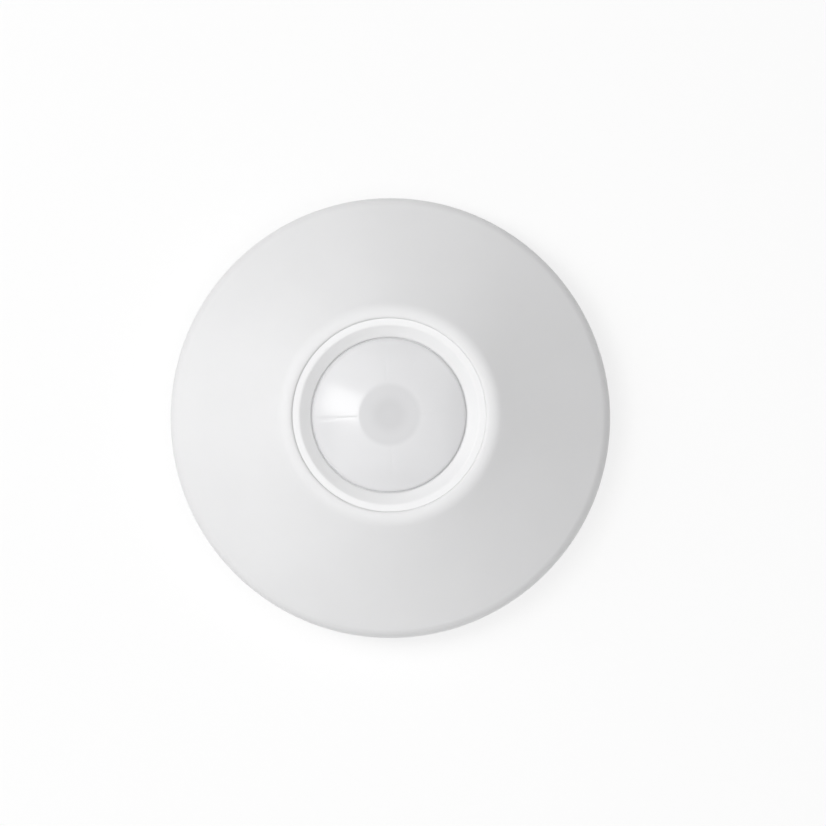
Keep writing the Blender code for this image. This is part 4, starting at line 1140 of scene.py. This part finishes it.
def terminal_block():
    low, high = box_mm("terminal_housing")
    centre = (low + high) / 2
    block = node_box("terminal_housing", 0.3, SEAT)
    chamber, chamber_low = (3.9, 5.4, 6.2), low.z + 1.2
    mouth, cage_low = (3.1, 6, 3.2), chamber_low + 0.3
    funnel = [(0, high.z + 0.2), (2.45, high.z + 0.2), (1.95, high.z - 0.35), (0, high.z - 0.35)]
    lead_in = [(0, 0.9), (2.2, 0.9), (1.6, 0), (0, 0)]
    facing = ON_EDGE @ placed((0, 0), 45)
    for place in terminals_at:
        x, y = place
        block.cut(
            Shape().box(chamber, (x, y, chamber_low + chamber[2] / 2)),
            Shape().box(mouth, (x, low.y, cage_low + mouth[2] / 2), 0.2),
            Shape().box((1.6, 1.4, 5), (x, y + 1.8, SEAT)),
            Shape().rod(1.95, chamber_low + 5, high.z + 1, at=place),
            Shape().turned(funnel, SMALL, at=place),
            Shape().turned(lead_in, 4, at=(x, low.y + 0.35, cage_low + 1.6), tilt=facing),
        )
    for first, second in zip(terminals_at, terminals_at[1:]):
        seam = (first.x + second.x) / 2
        for y in (low.y, high.y):
            block.cut(Shape().box((0.3, 0.5, 20), (seam, y, centre.z), 0.05))
        block.cut(Shape().box((0.3, 20, 0.5), (seam, centre.y, high.z), 0.05))
    piece("terminal_block", block.carved(), [GREEN], ["terminal_housing"])


def clamp_screw(number):
    name = f"terminal_screw_{number}"
    low, high = box_mm(name)
    radius, shank, head_low = 1.65, 1.1, high.z - 1.6
    screw = Shape().turned([
        (0, high.z),
        *shoulder(radius, high.z, 0.25, 5),
        (radius, head_low), (shank, head_low),
        *threads(head_low - 0.3, low.z + 0.3, 0.5, ((shank, 0), (shank * 0.86, 0.5))),
        (shank * 0.8, low.z), (0, low.z),
    ], 48)
    screw.cut(Shape().box((4, 0.6, 1.6), (0, 0, high.z), 0.05))
    screw = screw.carved().moved(middle(name))
    piece(f"clamp_screw_{number}", screw, [ZINC], [name], f"screw_{number}")


def softened(node_name, finish):
    """Keeps a node's CAD shape, with a finish and soft edges."""
    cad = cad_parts[node_name]
    cad.data.materials.clear()
    cad.data.materials.append(finish)
    cad.modifiers.new("weld", "WELD").merge_threshold = 0.002 * MM
    edge = cad.modifiers.new("edges", "BEVEL")
    edge.width = 0.08 * MM
    edge.segments = 2
    edge.limit_method = "ANGLE"


# --- stage ---

VIEW_WIDTH = 216.8 * MM  # what the picture spans across, at the cover's rim
AIM = Vector((6.0, 1.2, 8.0)) * MM  # the picture's centre is a little right of the sensor's axis
CAMERA_DISTANCE = 2.5
CAMERA_TILT = (0.011, -0.035)  # how far off the axis the camera stands, per metre of height


def camera():
    back = Vector((*CAMERA_TILT, 1)).normalized()
    across = Vector((0, 1, 0)).cross(back).normalized()
    data = bpy.data.cameras.new("camera")
    data.lens = data.sensor_width * CAMERA_DISTANCE / VIEW_WIDTH
    data.clip_end = 20
    obj = add_object("camera", data)
    turn = Matrix((across, back.cross(across), back)).transposed()
    obj.matrix_world = Matrix.Translation(AIM + back * CAMERA_DISTANCE) @ turn.to_4x4()
    bpy.context.scene.camera = obj


def area_light(name, off_axis, round_axis, distance, size, strength, mirrored=True):
    """A soft box that faces the sensor, this many degrees off its axis and round it from +X.

    Its strength is the brightness that it gives a white surface that faces it.
    """
    tilt, turn = radians(off_axis), radians(round_axis)
    towards = Vector((sin(tilt) * cos(turn), sin(tilt) * sin(turn), cos(tilt)))
    data = bpy.data.lights.new(name, "AREA")
    data.shape = "RECTANGLE"
    data.size, data.size_y = size
    data.energy = strength * (pi * distance) ** 2
    obj = add_object(name, data)
    obj.location = towards * distance
    obj.rotation_euler = towards.to_track_quat("Z", "Y").to_euler()
    obj.visible_glossy = mirrored


def stage():
    world = bpy.data.worlds.new("studio")
    world.use_nodes = True
    background = world.node_tree.nodes["Background"].inputs
    background["Color"].default_value = (1, 1, 1, 1)
    background["Strength"].default_value = 0.03
    bpy.context.scene.world = world
    area_light("window", 23.5, 163, 1.6, (0.4, 0.72), 0.19)
    area_light("key", 48, 160, 1.5, (0.6, 1.2), 0.34, mirrored=False)
    area_light("fill_right", 40, 330, 1.5, (0.8, 0.8), 0.025, mirrored=False)
    area_light("fill_front", 52, 255, 1.4, (1.0, 1.2), 0.2, mirrored=False)
    area_light("overhead", 4, 90, 3.4, (4.0, 4.0), 0.7)
    paper = surface("floor_paper", (0.25, 0.25, 0.25), 0.9, 4.0, 0.01, 0.01, 300, Emission_Strength=0.72)
    paper.node_tree.nodes["Principled BSDF"].inputs["Emission Color"].default_value = (1, 1, 1, 1)
    in_metres("floor", Shape().plate([circle(4000, 64)], -3, -0.4), [paper])
    bpy.context.scene.view_settings.view_transform = "Standard"


camera()
cover_shell()
base_shell()
bezel_ring()
lens_dome()
foam_ring()
board_sheet()
board_copper()
small_parts("small_resistors", CHIP_RESISTORS, 0.5, BLACK)
small_parts("small_capacitors", CHIP_CAPACITORS, 0.85, TAN)
legend()
board_screws()
sensing_parts()
shroud()
led()
trimpot()
jumpers()
tamper()
relay()
for capacitor_name in CAPACITORS:
    capacitor(capacitor_name)
varistor()
crystal()
chips()
terminal_block()
for terminal in range(1, 7):
    clamp_screw(terminal)
    softened(f"clamp_cage_{terminal}", ZINC)
    softened(f"contact_bar_{terminal}", SOLDER)
stage()
